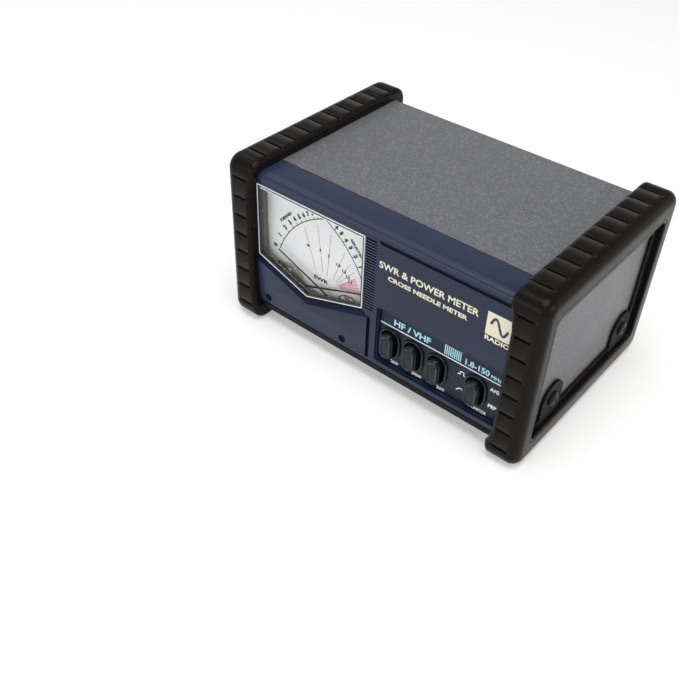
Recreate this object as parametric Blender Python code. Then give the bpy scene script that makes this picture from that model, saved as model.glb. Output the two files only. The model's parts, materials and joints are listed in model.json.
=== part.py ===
"""Cross-needle SWR and power meter: a sheet-metal case between two moulded end frames.

The meter's own axes: +X to its right as seen from the front, the front looks along -Y, +Z up.
Every size below is in millimetres. Y is measured from the middle of the end frames, and the
empty "meter" carries all pieces, so that the origin is under the middle of the whole object.
"""

import math

import bmesh
import bpy
from mathutils import Vector

MM = 0.001
GAP = 0.3  # between pieces that touch

# End frames
FRAME_X = 82.5  # outer faces
FRAME_INNER_X = 66.1
FRAME_Y = 55.8
FRAME_TOP = 87.4
FRAME_CORNER = 7.0
OUTER_FILLET = 5.0
INNER_FILLET = 2.0
TREAD_PITCH = 9.9
TREAD_WIDTH = 1.1
TREAD_DEPTH = 0.5
TREAD_REACH = (67.6, 77.5)
FRONT_TREAD_REACH = (69.8, 77.5)
FRONT_ARM = [(60, 8.5), (66.1, 8.5), (67.7, 11), (68.3, 15)]
FRONT_ARM += [(68.3, 71), (67.7, 76), (66.1, 80), (60, 80)]
TREADS_ALONG = 10
TREADS_UP = 8
SIDE_WINDOW = ((-46.0, 45.7), (11.5, 76.5))
FLANGE_WINDOW = ((-41.0, 40.5), (15.5, 71.5))
FLANGE_X = (79.3, 80.3)
TAB_RADIUS = 8.5
TABS = {"front": (-28.5, 23.0), "rear": (34.0, 22.5)}
SCREW_HOLE = 1.9

# Case between the frames
CASE_X = 79.0
CASE_TOP = 82.3
CASE_BOTTOM = 7.8
SHEET = 1.0
COVER_FRONT = -35.3
COVER_SIDE_FRONT = -46.5
COVER_REAR = 47.4
PANEL_INSIDE = 46.0
CHASSIS_X = 77.7

# Front bezel
BEZEL_FRONT = -51.2
BEZEL_WALL = 2.0
BEZEL_BACK = BEZEL_FRONT + BEZEL_WALL
BEZEL_BOTTOM = 11.1
WINDOW_OUTLINE = [(-67.2, 76.6), (-67.2, 38.9), (-37.3, 28.6), (-5.0, 38.9), (-5.0, 76.6)]
RIB_STRIP = ((-4.0, 1.3), (40.0, 77.0))
RIB_COUNT = 26
HEADER_GROOVE = ((2.6, 76.0), (76.2, 78.2))
APRON_SLOT = ((-1.2, -0.2), (12.8, 36.0))
RECESS = ((3.9, 69.8), (14.6, 43.5))
PLATE_FRONT = -48.9
PLATE_BACK = -47.4

# Push buttons
BUTTONS = {
    "range_button_low": 10.0,
    "range_button_mid": 22.6,
    "range_button_high": 35.1,
    "monitor_button": 54.9,
}
BUTTON_Z = 25.8
BUTTON_SIZE = (7.0, 13.4)
BUTTON_FRONT = -52.9
BUTTON_FLANGE = 1.6  # how much wider all round the cap is behind the plate
OPENING_SIZE = (9.0, 14.6)
COLLAR_SIZE = (11.6, 16.4)
PLUNGER_Z = 26.8
COLLAR_FRONT = -49.9
BUTTON_TRAVEL = 3.0
LATCH_TRAVEL = 1.5
PLUNGER_HALF = 1.5
TOOTH_HALF = 1.2
TOOTH_Y = (-37.0, -34.0)
SPRING_MEAN = 2.85
SPRING_WIRE = 0.25
SWITCH_FRONT = -42.0
SWITCH_REAR = -21.0
SWITCH_BASE = 19.5

# Meter movement
CASE_FRONT = -47.6
METER_BOX = ((-71.0, -3.3), (12.0, 79.4))
METER_BACK = -18.0
DIAL_FRONT = -44.6
FORWARD_PIVOT = (-17.0, 26.9)
REFLECTED_PIVOT = (-57.2, 24.0)
FORWARD_REST = 158.4
REFLECTED_REST = 20.0
POINTER_SWEEP = 80.0
YOKE_RADII = (9.5, 7.2)
YOKE_FRONT = -45.2
YOKE_BACK = -32.0
DIAL_HOLE = 10.6
CORE_RADIUS = 4.6
ZERO_SCREWS = {"forward_zero_screw": (-15.6, 15.2), "reflected_zero_screw": (-62.3, 15.0)}

# Rear
SOCKETS = {"input": 22.0, "output": -22.0}
SOCKET_Z = 44.0
SOCKET_END = 65.8
SOCKET_HOLE = 8.2
JACK = (60.0, 30.0)
COUPLER = ((-40.0, 40.0), (12.0, 45.7), (24.0, 64.0))

COLOURS = {
    "bumper": ((0.012, 0.011, 0.011), 0.55, 0.0),
    "cover": ((0.195, 0.195, 0.215), 0.38, 0.0),
    "chassis": ((0.055, 0.057, 0.062), 0.45, 0.0),
    "bezel": ((0.038, 0.053, 0.085), 0.42, 0.0),
    "control_plate": ((0.030, 0.040, 0.060), 0.45, 0.0),
    "button": ((0.045, 0.060, 0.100), 0.35, 0.0),
    "steel": ((0.55, 0.55, 0.56), 0.30, 1.0),
    "nickel": ((0.72, 0.70, 0.66), 0.22, 1.0),
    "brass": ((0.75, 0.56, 0.24), 0.28, 1.0),
    "copper": ((0.72, 0.34, 0.18), 0.35, 1.0),
    "white_plastic": ((0.80, 0.80, 0.78), 0.40, 0.0),
    "cream": ((0.74, 0.71, 0.62), 0.60, 0.0),
    "black_plastic": ((0.015, 0.015, 0.017), 0.35, 0.0),
    "clear": ((0.92, 0.94, 0.96), 0.05, 0.0),
    "board": ((0.03, 0.16, 0.07), 0.45, 0.0),
    "ferrite": ((0.06, 0.06, 0.065), 0.50, 0.0),
}

# Which coordinates an outline's two numbers are, and which one it is extruded along
PLANES = {"x": (1, 2, 0), "y": (0, 2, 1), "z": (0, 1, 2)}


# --- Shapes ---------------------------------------------------------------


def place(axis, u, v, along):
    first, second, last = PLANES[axis]
    point = [0.0, 0.0, 0.0]
    point[first] = u
    point[second] = v
    point[last] = along
    return point


def loft(rings, loop=False):
    """A closed solid through rings of equal count: capped at both ends, or joined end to start."""
    solid = bmesh.new()
    rows = [[solid.verts.new(Vector(point) * MM) for point in ring] for ring in rings]
    count = len(rows[0])
    pairs = list(zip(rows, rows[1:]))
    if loop:
        pairs.append((rows[-1], rows[0]))
    else:
        solid.faces.new(rows[0])
        solid.faces.new(rows[-1])
    for near, far in pairs:
        for i in range(count):
            j = (i + 1) % count
            solid.faces.new((near[i], near[j], far[j], far[i]))
    bmesh.ops.recalc_face_normals(solid, faces=solid.faces)
    return solid


def prism(axis, outline, low, high):
    return loft([[place(axis, u, v, along) for u, v in outline] for along in (low, high)])


def rectangle(across, up):
    return [(across[0], up[0]), (across[1], up[0]), (across[1], up[1]), (across[0], up[1])]


def box(x, y, z):
    return prism("z", rectangle(x, y), z[0], z[1])


def arc(centre, radius, start, end, steps):
    """Points on an arc, angles in degrees from the outline's first axis."""
    angles = [math.radians(start + (end - start) * i / steps) for i in range(steps + 1)]
    return [(centre[0] + radius * math.cos(a), centre[1] + radius * math.sin(a)) for a in angles]


def rounded(across, up, radius, steps=5):
    corners = (
        (across[1] - radius, up[1] - radius, 0),
        (across[0] + radius, up[1] - radius, 90),
        (across[0] + radius, up[0] + radius, 180),
        (across[1] - radius, up[0] + radius, 270),
    )
    points = []
    for u, v, start in corners:
        points += arc((u, v), radius, start, start + 90, steps)
    return points


def stadium(centre, size, grow=0.0, steps=5):
    """An upright oval with straight sides."""
    radius = size[0] / 2 + grow
    straight = (size[1] - size[0]) / 2
    top = arc((centre[0], centre[1] + straight), radius, 0, 180, 2 * steps)
    bottom = arc((centre[0], centre[1] - straight), radius, 180, 360, 2 * steps)
    return top + bottom


def turned(axis, centre, profile, sides, loop=False):
    """A profile of (along, radius) turned about a line through centre."""
    rings = []
    for along, radius in profile:
        ring = arc(centre, radius, 0, 360 - 360 / sides, sides - 1)
        rings.append([place(axis, u, v, along) for u, v in ring])
    return loft(rings, loop)


def rod(axis, centre, radius, low, high, sides=16):
    return turned(axis, centre, [(low, radius), (high, radius)], sides)


def tube(axis, centre, outer, inner, low, high, sides=24):
    profile = [(low, inner), (low, outer), (high, outer), (high, inner)]
    return turned(axis, centre, profile, sides, loop=True)


def turned_outline(outline, centre, degrees):
    """An outline turned about the origin and then moved to centre."""
    cos = math.cos(math.radians(degrees))
    sin = math.sin(math.radians(degrees))
    return [(centre[0] + u * cos - v * sin, centre[1] + u * sin + v * cos) for u, v in outline]


def grown(outline, amount):
    """A convex outline with every side moved outwards by amount."""
    centre = [sum(point[i] for point in outline) / len(outline) for i in (0, 1)]
    lines = []
    for (u0, v0), (u1, v1) in zip(outline, outline[1:] + outline[:1]):
        length = math.hypot(u1 - u0, v1 - v0)
        normal = ((v1 - v0) / length, -(u1 - u0) / length)
        offset = normal[0] * u0 + normal[1] * v0
        if normal[0] * centre[0] + normal[1] * centre[1] > offset:
            normal = (-normal[0], -normal[1])
            offset = -offset
        lines.append((normal, offset + amount))
    points = []
    for (first, a), (second, b) in zip(lines[-1:] + lines[:-1], lines):
        cross = first[0] * second[1] - first[1] * second[0]
        u = (a * second[1] - b * first[1]) / cross
        v = (first[0] * b - second[0] * a) / cross
        points.append((u, v))
    return points


# --- Scene ----------------------------------------------------------------


def clear_scene():
    for old in list(bpy.data.objects):
        bpy.data.objects.remove(old, do_unlink=True)


def make_materials():
    made = {}
    for name, (colour, roughness, metallic) in COLOURS.items():
        material = bpy.data.materials.new(name)
        material.use_nodes = True
        shader = material.node_tree.nodes["Principled BSDF"]
        shader.inputs["Base Color"].default_value = (*colour, 1.0)
        shader.inputs["Roughness"].default_value = roughness
        shader.inputs["Metallic"].default_value = metallic
        made[name] = material
    return made


def make_root():
    root = bpy.data.objects.new("meter", None)
    root.location = (0.0, (FRAME_Y - SOCKET_END) / 2 * MM, 0.0)
    bpy.context.scene.collection.objects.link(root)
    return root


def merged(solids):
    """Solids that stand apart, in one mesh."""
    whole = bmesh.new()
    for solid in solids:
        offset = bpy.data.meshes.new("merging")
        solid.to_mesh(offset)
        whole.from_mesh(offset)
        bpy.data.meshes.remove(offset)
        solid.free()
    return whole


def add_object(name, solids, origin=(0.0, 0.0, 0.0)):
    whole = merged(solids)
    start = Vector(origin) * MM
    bmesh.ops.translate(whole, verts=whole.verts, vec=-start)
    mesh = bpy.data.meshes.new(name)
    whole.to_mesh(mesh)
    whole.free()
    made = bpy.data.objects.new(name, mesh)
    bpy.context.scene.collection.objects.link(made)
    made.parent = ROOT
    made.location = start
    return made


def piece(name, material, solids, origin=(0.0, 0.0, 0.0)):
    """One named sub-part."""
    made = add_object(name, solids, origin)
    made.data.materials.append(MATERIALS[material])
    made.data.shade_smooth()
    made.data.set_sharp_from_angle(angle=math.radians(35))
    return made


def combine(target, operation, solids):
    guide = add_object(f"{target.name}_{operation.lower()}_{len(target.modifiers)}", solids)
    guide.hide_render = True
    guide.display_type = "WIRE"
    modifier = target.modifiers.new(operation.lower(), "BOOLEAN")
    modifier.operation = operation
    modifier.object = guide
    modifier.solver = "EXACT"


def cut(target, *solids):
    combine(target, "DIFFERENCE", solids)


def join(target, *solids):
    for solid in solids:
        combine(target, "UNION", [solid])


# --- End frames -----------------------------------------------------------


def frame_body(side):
    rings = []
    for angle in (0, 45, 90):
        turn = math.radians(angle)
        x = FRAME_INNER_X + INNER_FILLET * (1 - math.cos(turn))
        rings.append((x, INNER_FILLET * (1 - math.sin(turn))))
    for angle in (0, 22.5, 45, 67.5, 90):
        turn = math.radians(angle)
        x = FRAME_X - OUTER_FILLET * (1 - math.sin(turn))
        rings.append((x, OUTER_FILLET * (1 - math.cos(turn))))
    outlines = []
    for x, inset in rings:
        along = (inset - FRAME_Y, FRAME_Y - inset)
        outline = rounded(along, (inset, FRAME_TOP - inset), FRAME_CORNER - inset)
        outlines.append([place("x", u, v, side * x) for u, v in outline])
    return loft(outlines)


def groove(side, x, point, normal):
    """A V-shaped tread groove along X: point is its (y, z) on the face, normal looks out of it."""
    above = 0.1
    outline = []
    for across, out in ((TREAD_WIDTH / 2, above), (-TREAD_WIDTH / 2, above), (0.0, -TREAD_DEPTH)):
        y = point[0] + normal[1] * across + normal[0] * out
        z = point[1] - normal[0] * across + normal[1] * out
        outline.append((y, z))
    return prism("x", outline, side * x[0], side * x[1])


def tread_grooves(side):
    grooves = []
    for i in range(TREADS_ALONG):
        y = (i - (TREADS_ALONG - 1) / 2) * TREAD_PITCH
        grooves.append(groove(side, TREAD_REACH, (y, FRAME_TOP), (0, 1)))
        grooves.append(groove(side, TREAD_REACH, (y, 0.0), (0, -1)))
    for i in range(TREADS_UP):
        z = FRAME_TOP / 2 + (i - (TREADS_UP - 1) / 2) * TREAD_PITCH
        grooves.append(groove(side, FRONT_TREAD_REACH, (-FRAME_Y, z), (-1, 0)))
        grooves.append(groove(side, TREAD_REACH, (FRAME_Y, z), (1, 0)))
    return grooves


def flange_outline():
    """The opening in the inner flange: one screw tab stands in it, the other meets its rear edge."""
    (front, rear), (bottom, top) = FLANGE_WINDOW
    standing, cornered = TABS["front"], TABS["rear"]
    points = [(front, bottom), (standing[0] - TAB_RADIUS, bottom)]
    points += arc(standing, TAB_RADIUS, 180, 0, 10)
    points += [(standing[0] + TAB_RADIUS, bottom), (cornered[0] - TAB_RADIUS, bottom)]
    meets = math.degrees(math.acos((rear - cornered[0]) / TAB_RADIUS))
    points += arc(cornered, TAB_RADIUS, 180, meets, 8)
    points += [(rear, top), (front, top)]
    return points


def make_end_frame(name, side):
    frame = piece(name, "bumper", [frame_body(side)])
    inside_y = (BEZEL_FRONT - GAP, COVER_REAR + GAP)
    inside_z = (CASE_BOTTOM - GAP, CASE_TOP + GAP)
    cut(frame, prism("x", rectangle(inside_y, inside_z), side * 60, side * FLANGE_X[0]))
    cut(frame, prism("x", rounded(*SIDE_WINDOW, 4.0, 3), side * FLANGE_X[1], side * 84))
    cut(frame, prism("x", flange_outline(), side * 79, side * 80.8))
    cut(frame, prism("y", [(side * x, z) for x, z in FRONT_ARM], -57, BEZEL_FRONT - 0.2))
    holes = [rod("x", at, SCREW_HOLE, side * 79, side * 81) for at in TABS.values()]
    cut(frame, *holes)
    cut(frame, *tread_grooves(side))


def make_frame_screw(name, side, at):
    profile = [(74.5, 1.5), (80.6, 1.5), (80.6, 3.4), (81.6, 3.2), (82.1, 2.2)]
    screw = piece(name, "steel", [turned("x", at, [(side * x, radius) for x, radius in profile], 16)])
    cut(screw, box((side * 81.3, side * 83), (at[0] - 0.4, at[0] + 0.4), (at[1] - 2, at[1] + 2)))


def make_end_frames():
    for word, side in (("left", -1), ("right", 1)):
        make_end_frame(f"{word}_end_frame", side)
        for place_word, at in TABS.items():
            make_frame_screw(f"end_frame_screw_{word}_{place_word}", side, at)


# --- Sheet metal ----------------------------------------------------------


def screw_holes(x):
    holes = []
    for at in TABS.values():
        for side in (-1, 1):
            holes.append(rod("x", at, SCREW_HOLE, side * x[0], side * x[1]))
    return holes


def make_cover():
    bend = 1.6
    outer = [(CASE_X, 9.5)] + arc((CASE_X - bend, CASE_TOP - bend), bend, 0, 90, 3)
    inner_bend = bend - SHEET
    inner = arc((CASE_X - bend, CASE_TOP - bend), inner_bend, 90, 0, 3) + [(CASE_X - SHEET, 9.5)]
    right = outer
    left = [(-x, z) for x, z in reversed(outer)]
    inside = [(-x, z) for x, z in reversed(inner)]
    outline = right + left + inside + inner
    cover = piece("top_cover", "cover", [prism("y", outline, COVER_SIDE_FRONT, COVER_REAR)])
    cut(cover, box((-85, 85), (-50, COVER_FRONT), (78, 90)))
    cut(cover, *screw_holes((77, 80)))


def make_chassis():
    flange_top = 30.0
    wall = CHASSIS_X - SHEET
    low = CASE_BOTTOM
    outline = [
        (-CHASSIS_X, flange_top),
        (-CHASSIS_X, low),
        (CHASSIS_X, low),
        (CHASSIS_X, flange_top),
        (wall, flange_top),
        (wall, low + SHEET),
        (-wall, low + SHEET),
        (-wall, flange_top),
    ]
    pan = prism("y", outline, COVER_SIDE_FRONT, PANEL_INSIDE - GAP)
    chassis = piece("bottom_chassis", "chassis", [pan])
    join(chassis, box((-CHASSIS_X, CHASSIS_X), (-50.9, -46), (low, low + SHEET)))
    join(chassis, box((-CHASSIS_X, CHASSIS_X), (-50.9, -49.9), (low + 0.2, BEZEL_BOTTOM - GAP)))
    for x, y in ((6, -12), (68, -12), (68, -38)):
        join(chassis, rod("z", (x, y), 2.5, low + 0.5, 17.3, 12))
    cut(chassis, *screw_holes((76, 78.5)))


def make_rear_panel():
    up = (CASE_BOTTOM, CASE_TOP - SHEET - GAP)
    sheet = box((-CHASSIS_X, CHASSIS_X), (PANEL_INSIDE, COVER_REAR), up)
    panel = piece("rear_panel", "chassis", [sheet])
    holes = [rod("y", (x, SOCKET_Z), SOCKET_HOLE, 45, 49, 24) for x in SOCKETS.values()]
    cut(panel, *holes, rod("y", JACK, 4.4, 45, 49, 16))


# --- Front ----------------------------------------------------------------


def make_bezel():
    profile = [(BEZEL_BACK, BEZEL_BOTTOM), (-50.6, BEZEL_BOTTOM), (-51.05, 11.6), (BEZEL_FRONT, 12.4)]
    profile += [(BEZEL_FRONT, 80.7), (-50.9, 81.1), (-49.8, 81.6), (-48.2, 82.1), (-46.5, CASE_TOP)]
    profile += [(COVER_FRONT - GAP, CASE_TOP), (COVER_FRONT - GAP, 80.3), (BEZEL_BACK, 80.3)]
    bezel = piece("front_bezel", "bezel", [prism("x", profile, -CASE_X, CASE_X)])
    for side in (-1, 1):
        across = (side * 77.4, side * CASE_X)
        join(bezel, box(across, (-50, COVER_SIDE_FRONT - GAP), (BEZEL_BOTTOM, 80.6)))
    cut(bezel, prism("y", grown(WINDOW_OUTLINE, GAP), -53, -48))
    cut(bezel, prism("y", rounded(*RECESS, 1.5, 3), -53, -48))
    (left, right), (bottom, top) = RIB_STRIP
    pitch = (top - bottom) / RIB_COUNT
    ribs = []
    for i in range(RIB_COUNT):
        low = bottom + i * pitch
        ribs.append(box((left, right), (-52, BEZEL_FRONT + 0.6), (low, low + pitch / 2)))
    cut(bezel, *ribs)
    (left, right), up = HEADER_GROOVE
    end = arc((left + 1, sum(up) / 2), 1.0, 90, 270, 6)
    cut(bezel, prism("y", end + [(right, up[0]), (right, up[1])], -52, BEZEL_FRONT + 1.0))
    cut(bezel, prism("y", rectangle(*APRON_SLOT), -52, BEZEL_FRONT + 0.8))
    cut(bezel, *[rod("y", at, 2.0, -52, -48, 16) for at in ZERO_SCREWS.values()])


def make_control_plate():
    sheet = box((2.5, 72.0), (PLATE_FRONT, PLATE_BACK), (12.9, 45.2))
    plate = piece("control_plate", "control_plate", [sheet])
    centres = [(x, BUTTON_Z) for x in BUTTONS.values()]
    for centre in centres:
        join(plate, prism("y", stadium(centre, COLLAR_SIZE), COLLAR_FRONT, PLATE_BACK - 0.5))
    cut(plate, *[prism("y", stadium(centre, OPENING_SIZE), -51, -46) for centre in centres])


def make_meter_window():
    window = piece("meter_window", "clear", [prism("y", WINDOW_OUTLINE, -51.5, -48.2)])
    join(window, prism("y", grown(WINDOW_OUTLINE, 1.5), BEZEL_BACK + GAP, -47.9))
    cut(window, prism("y", grown(WINDOW_OUTLINE, -1.5), -49.5, -47))


def make_button(name, x):
    centre = (x, BUTTON_Z)
    rings = []
    for behind, inset in ((0.0, 0.7), (0.25, 0.2), (0.8, 0.0), (6.6, 0.0)):
        outline = stadium(centre, BUTTON_SIZE, -inset)
        rings.append([place("y", u, v, BUTTON_FRONT + behind) for u, v in outline])
    button = piece(name, "button", [loft(rings)], (x, BUTTON_FRONT, BUTTON_Z))
    join(button, prism("y", stadium(centre, BUTTON_SIZE, BUTTON_FLANGE), -46.9, -46.1))
    scoop_radius = 8.0
    scoop_depth = 1.1
    scoop_half = 2.4
    scoop_y = BUTTON_FRONT - scoop_radius + scoop_depth
    scoop = arc((scoop_y, BUTTON_Z), scoop_radius, 0, 345, 23)
    cut(button, prism("x", scoop, x - scoop_half, x + scoop_half))


def make_plunger(name, x):
    low, high = PLUNGER_Z - PLUNGER_HALF, PLUNGER_Z + PLUNGER_HALF
    across = (x - PLUNGER_HALF, x + PLUNGER_HALF)
    front = -45.8
    stem = box(across, (front, -19.5), (low, high))
    plunger = piece(name, "white_plastic", [stem], (x, front, PLUNGER_Z))
    join(plunger, box((x - 3.2, x + 3.2), (-29, -28), (PLUNGER_Z - 3.2, PLUNGER_Z + 3.2)))
    join(plunger, box((x - TOOTH_HALF, x + TOOTH_HALF), TOOTH_Y, (high - 0.5, high + 3.2)))


def make_spring(name, x):
    """Four turns of 0.5 mm wire between the plunger's collar and the rear wall of the switch."""
    turns = 4
    steps_per_turn = 14
    wire_sides = 5
    start = -27.7 + SPRING_WIRE
    end = SWITCH_REAR - SHEET - GAP - SPRING_WIRE
    rings = []
    for i in range(turns * steps_per_turn + 1):
        angle = 2 * math.pi * i / steps_per_turn
        along = start + (end - start) * i / (turns * steps_per_turn)
        ring = []
        for corner in range(wire_sides):
            turn = 2 * math.pi * corner / wire_sides
            radius = SPRING_MEAN + SPRING_WIRE * math.cos(turn)
            y = along + SPRING_WIRE * math.sin(turn)
            ring.append((x + radius * math.cos(angle), y, PLUNGER_Z + radius * math.sin(angle)))
        rings.append(ring)
    piece(name, "steel", [loft(rings)])


def make_switch_frame(name, across, centres):
    top = 33.0
    base = SWITCH_BASE
    front, rear = SWITCH_FRONT, SWITCH_REAR
    outline = [(front, base), (rear, base), (rear, top), (rear - SHEET, top), (rear - SHEET, base + SHEET)]
    outline += [(front + SHEET, base + SHEET), (front + SHEET, top), (front, top)]
    frame = piece(name, "steel", [prism("x", outline, *across)])
    half = PLUNGER_HALF + GAP
    up = (PLUNGER_Z - half, PLUNGER_Z + half)
    holes = []
    for x in centres:
        for wall in (front, rear - SHEET):
            holes.append(box((x - half, x + half), (wall - 1, wall + 2), up))
    cut(frame, *holes)


def make_latch_bar(centres):
    """A bar over the range plungers: each tooth stands in a slot as long as both travels."""
    sheet = box((5.0, 38.2), (-40.2, -29.5), (30.7, 31.9))
    bar = piece("latch_bar", "steel", [sheet], (5.0, -34.9, 31.3))
    clear = TOOTH_HALF + GAP
    slot_y = (TOOTH_Y[0] - GAP, TOOTH_Y[1] + BUTTON_TRAVEL + GAP)
    cut(bar, *[box((x - clear - LATCH_TRAVEL, x + clear), slot_y, (30, 33)) for x in centres])


def make_switches():
    names = list(BUTTONS)
    for name, x in BUTTONS.items():
        make_button(name, x)
        stem = name.replace("_button", "")
        make_plunger(f"{stem}_plunger", x)
        make_spring(f"{stem}_spring", x)
    ranges = [BUTTONS[name] for name in names[:3]]
    make_switch_frame("range_switch_frame", (4.0, 41.1), ranges)
    make_switch_frame("monitor_switch_frame", (49.5, 60.3), [BUTTONS[names[3]]])
    make_latch_bar(ranges)


def make_switch_board():
    piece("switch_board", "board", [box((2.5, 72.0), (-43.0, -8.0), (17.6, 19.2))])
    for word, x in (("forward", 47.0), ("reflected", 58.0)):
        cube = box((x - 3.2, x + 3.2), (-17, -10.6), (19.5, 23))
        trimmer = piece(f"calibration_trimmer_{word}", "white_plastic", [cube])
        join(trimmer, rod("z", (x, -13.8), 2.2, 22.5, 24.2, 14))
        cut(trimmer, box((x - 3, x + 3), (-14.1, -13.5), (23.6, 25)))


# --- Meter ----------------------------------------------------------------


def make_meter_case():
    outside = box(METER_BOX[0], (CASE_FRONT, METER_BACK), METER_BOX[1])
    case = piece("meter_case", "black_plastic", [outside])
    wall = 1.4
    (left, right), (bottom, top) = METER_BOX
    depth = (CASE_FRONT - 1, METER_BACK - wall)
    cut(case, box((left + wall, right - wall), depth, (bottom + wall, top - wall)))


def make_dial_plate():
    """A card with its lower edge above the movements and a tongue between them."""
    outline = [(-67.6, 76.9), (-67.6, 33.4), (-46.0, 33.4), (-46.0, 17.0), (-28.0, 17.0)]
    outline += [(-28.0, 33.4), (-6.0, 33.4), (-6.0, 76.9)]
    plate = piece("dial_plate", "cream", [prism("y", outline, DIAL_FRONT, DIAL_FRONT + 0.8)])
    pivots = (FORWARD_PIVOT, REFLECTED_PIVOT)
    cut(plate, *[rod("y", at, DIAL_HOLE, -46, -43, 28) for at in pivots])


def make_yoke(name, pivot, bridge_angle):
    outer, inner = YOKE_RADII
    profile = [(YOKE_BACK - 1.3, inner), (YOKE_FRONT, inner), (YOKE_FRONT, outer), (YOKE_BACK, outer)]
    yoke = piece(name, "steel", [turned("y", pivot, profile, 28)])
    bar = turned_outline(rectangle((-9.2, 9.2), (-1.5, 1.5)), pivot, bridge_angle)
    join(yoke, prism("y", bar, YOKE_FRONT - 0.6, YOKE_FRONT + 0.2))
    cut(yoke, rod("y", pivot, 0.9, -47, -44, 10), rod("y", pivot, 0.9, -34, -31, 10))


def make_magnet(name, pivot, web_angle):
    """The fixed core inside the coil, held by two webs that the coil's sides never reach."""
    magnet = piece(name, "ferrite", [rod("y", pivot, CORE_RADIUS, -43.4, -35.8, 20)])
    web = turned_outline(rectangle((-6.8, 6.8), (-1.0, 1.0)), pivot, web_angle)
    join(magnet, prism("y", web, -41.5, -37.5))


def make_coil(name, pivot, angle, staff_front):
    """A wound loop around the core, with its staff through the bridge."""
    start, end = -44.6, -34.6
    bar = 0.8
    sides = []
    for centre in (-5.9, 5.9):
        outline = turned_outline(rectangle((centre - 0.7, centre + 0.7), (-0.6, 0.6)), pivot, angle)
        sides.append(prism("y", outline, start, end))
    coil = piece(name, "copper", [sides[0]], (pivot[0], start, pivot[1]))
    crossbar = turned_outline(rectangle((-6.5, 6.5), (-0.55, 0.55)), pivot, angle)
    join(coil, prism("y", crossbar, start + 0.1, start + bar))
    join(coil, sides[1])
    join(coil, prism("y", crossbar, end - bar, end - 0.1))
    join(coil, rod("y", pivot, 0.5, staff_front, start + 0.5, 8))
    join(coil, rod("y", pivot, 0.5, end - 0.5, -32.8, 8))


def make_needle(name, pivot, angle, front, length):
    """A tapered pointer with a short counterweight, on a round hub."""
    outline = [(-6.0, -0.8), (-2.0, -0.8), (0.0, -0.5), (length, -0.18)]
    outline += [(length, 0.18), (0.0, 0.5), (-2.0, 0.8), (-6.0, 0.8)]
    pointer = prism("y", turned_outline(outline, pivot, angle), front, front + 0.4)
    needle = piece(name, "black_plastic", [pointer], (pivot[0], front, pivot[1]))
    join(needle, rod("y", pivot, 1.6, front - 0.05, front + 0.5, 14))


def make_hairspring(name, pivot):
    """A flat spiral fixed behind the coil."""
    turns, steps_per_turn = 3, 14
    inner, outer = 1.3, 4.3
    low, high = -34.15, -33.75
    half = 0.13
    rings = []
    for i in range(turns * steps_per_turn + 1):
        angle = 2 * math.pi * i / steps_per_turn
        radius = inner + (outer - inner) * i / (turns * steps_per_turn)
        ring = []
        for offset, y in ((-half, low), (half, low), (half, high), (-half, high)):
            u = pivot[0] + (radius + offset) * math.cos(angle)
            v = pivot[1] + (radius + offset) * math.sin(angle)
            ring.append((u, y, v))
        rings.append(ring)
    piece(name, "brass", [loft(rings)])


def make_zero_screw(name, at):
    profile = [(-50.7, 1.6), (-48.9, 1.6), (-48.9, 1.1), (-46.5, 1.1)]
    screw = piece(name, "black_plastic", [turned("y", at, profile, 14)], (at[0], -50.7, at[1]))
    cut(screw, box((at[0] - 2, at[0] + 2), (-52, -50.2), (at[1] - 0.3, at[1] + 0.3)))
    join(screw, rod("y", (at[0], at[1] + 0.55), 0.4, -47, -45.5, 8))


def make_movement(word, pivot, rest, sense, needle_front, length):
    """One of the two meters: sense is +1 where the needle's angle grows as it rises."""
    middle = rest + sense * POINTER_SWEEP / 2
    make_yoke(f"{word}_yoke", pivot, middle + 90)
    make_magnet(f"{word}_magnet", pivot, middle + 90)
    make_coil(f"{word}_coil", pivot, rest, needle_front + 0.8)
    make_needle(f"{word}_needle", pivot, rest, needle_front, length)
    make_hairspring(f"{word}_hairspring", pivot)


def make_meter():
    make_meter_case()
    make_dial_plate()
    make_movement("forward", FORWARD_PIVOT, FORWARD_REST, -1, -47.5, 47.0)
    make_movement("reflected", REFLECTED_PIVOT, REFLECTED_REST, 1, -46.6, 50.8)
    for name, at in ZERO_SCREWS.items():
        make_zero_screw(name, at)
    piece("lamp_board", "board", [box((-50, -24), (-23, -21.4), (58, 70))])
    dome = [(-30.5, 0.9), (-30.0, 1.9), (-28.8, 2.5), (-23.3, 2.5)]
    piece("meter_lamp", "clear", [turned("y", (-37.0, 64.0), dome, 14)])


# --- Rear -----------------------------------------------------------------


def hexagon(centre, across_flats):
    return arc(centre, across_flats / 2 / math.cos(math.pi / 6), 0, 300, 5)


def make_socket(word, x):
    at = (x, SOCKET_Z)
    body = [(38.0, 6.2), (38.0, 7.9), (47.7, 7.9), (47.7, 10.8), (50.2, 10.8), (50.2, 7.9)]
    body += [(SOCKET_END - 0.5, 7.9), (SOCKET_END, 7.5), (SOCKET_END, 6.2)]
    piece(f"{word}_socket_body", "nickel", [turned("y", at, body, 28, loop=True)])
    piece(f"{word}_socket_insulator", "white_plastic", [tube("y", at, 5.9, 2.4, 37.0, 63.8, 20)])
    contact = [(31.9, 1.2), (38.0, 1.2), (38.0, 2.1), (62.8, 2.1), (62.8, 1.5), (52.0, 1.5)]
    piece(f"{word}_socket_contact", "brass", [turned("y", at, contact, 16)])
    nut = piece(f"{word}_socket_nut", "nickel", [prism("y", hexagon(at, 20.0), 41.2, 44.4)])
    cut(nut, rod("y", at, SOCKET_HOLE, 40, 46, 24))


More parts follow.
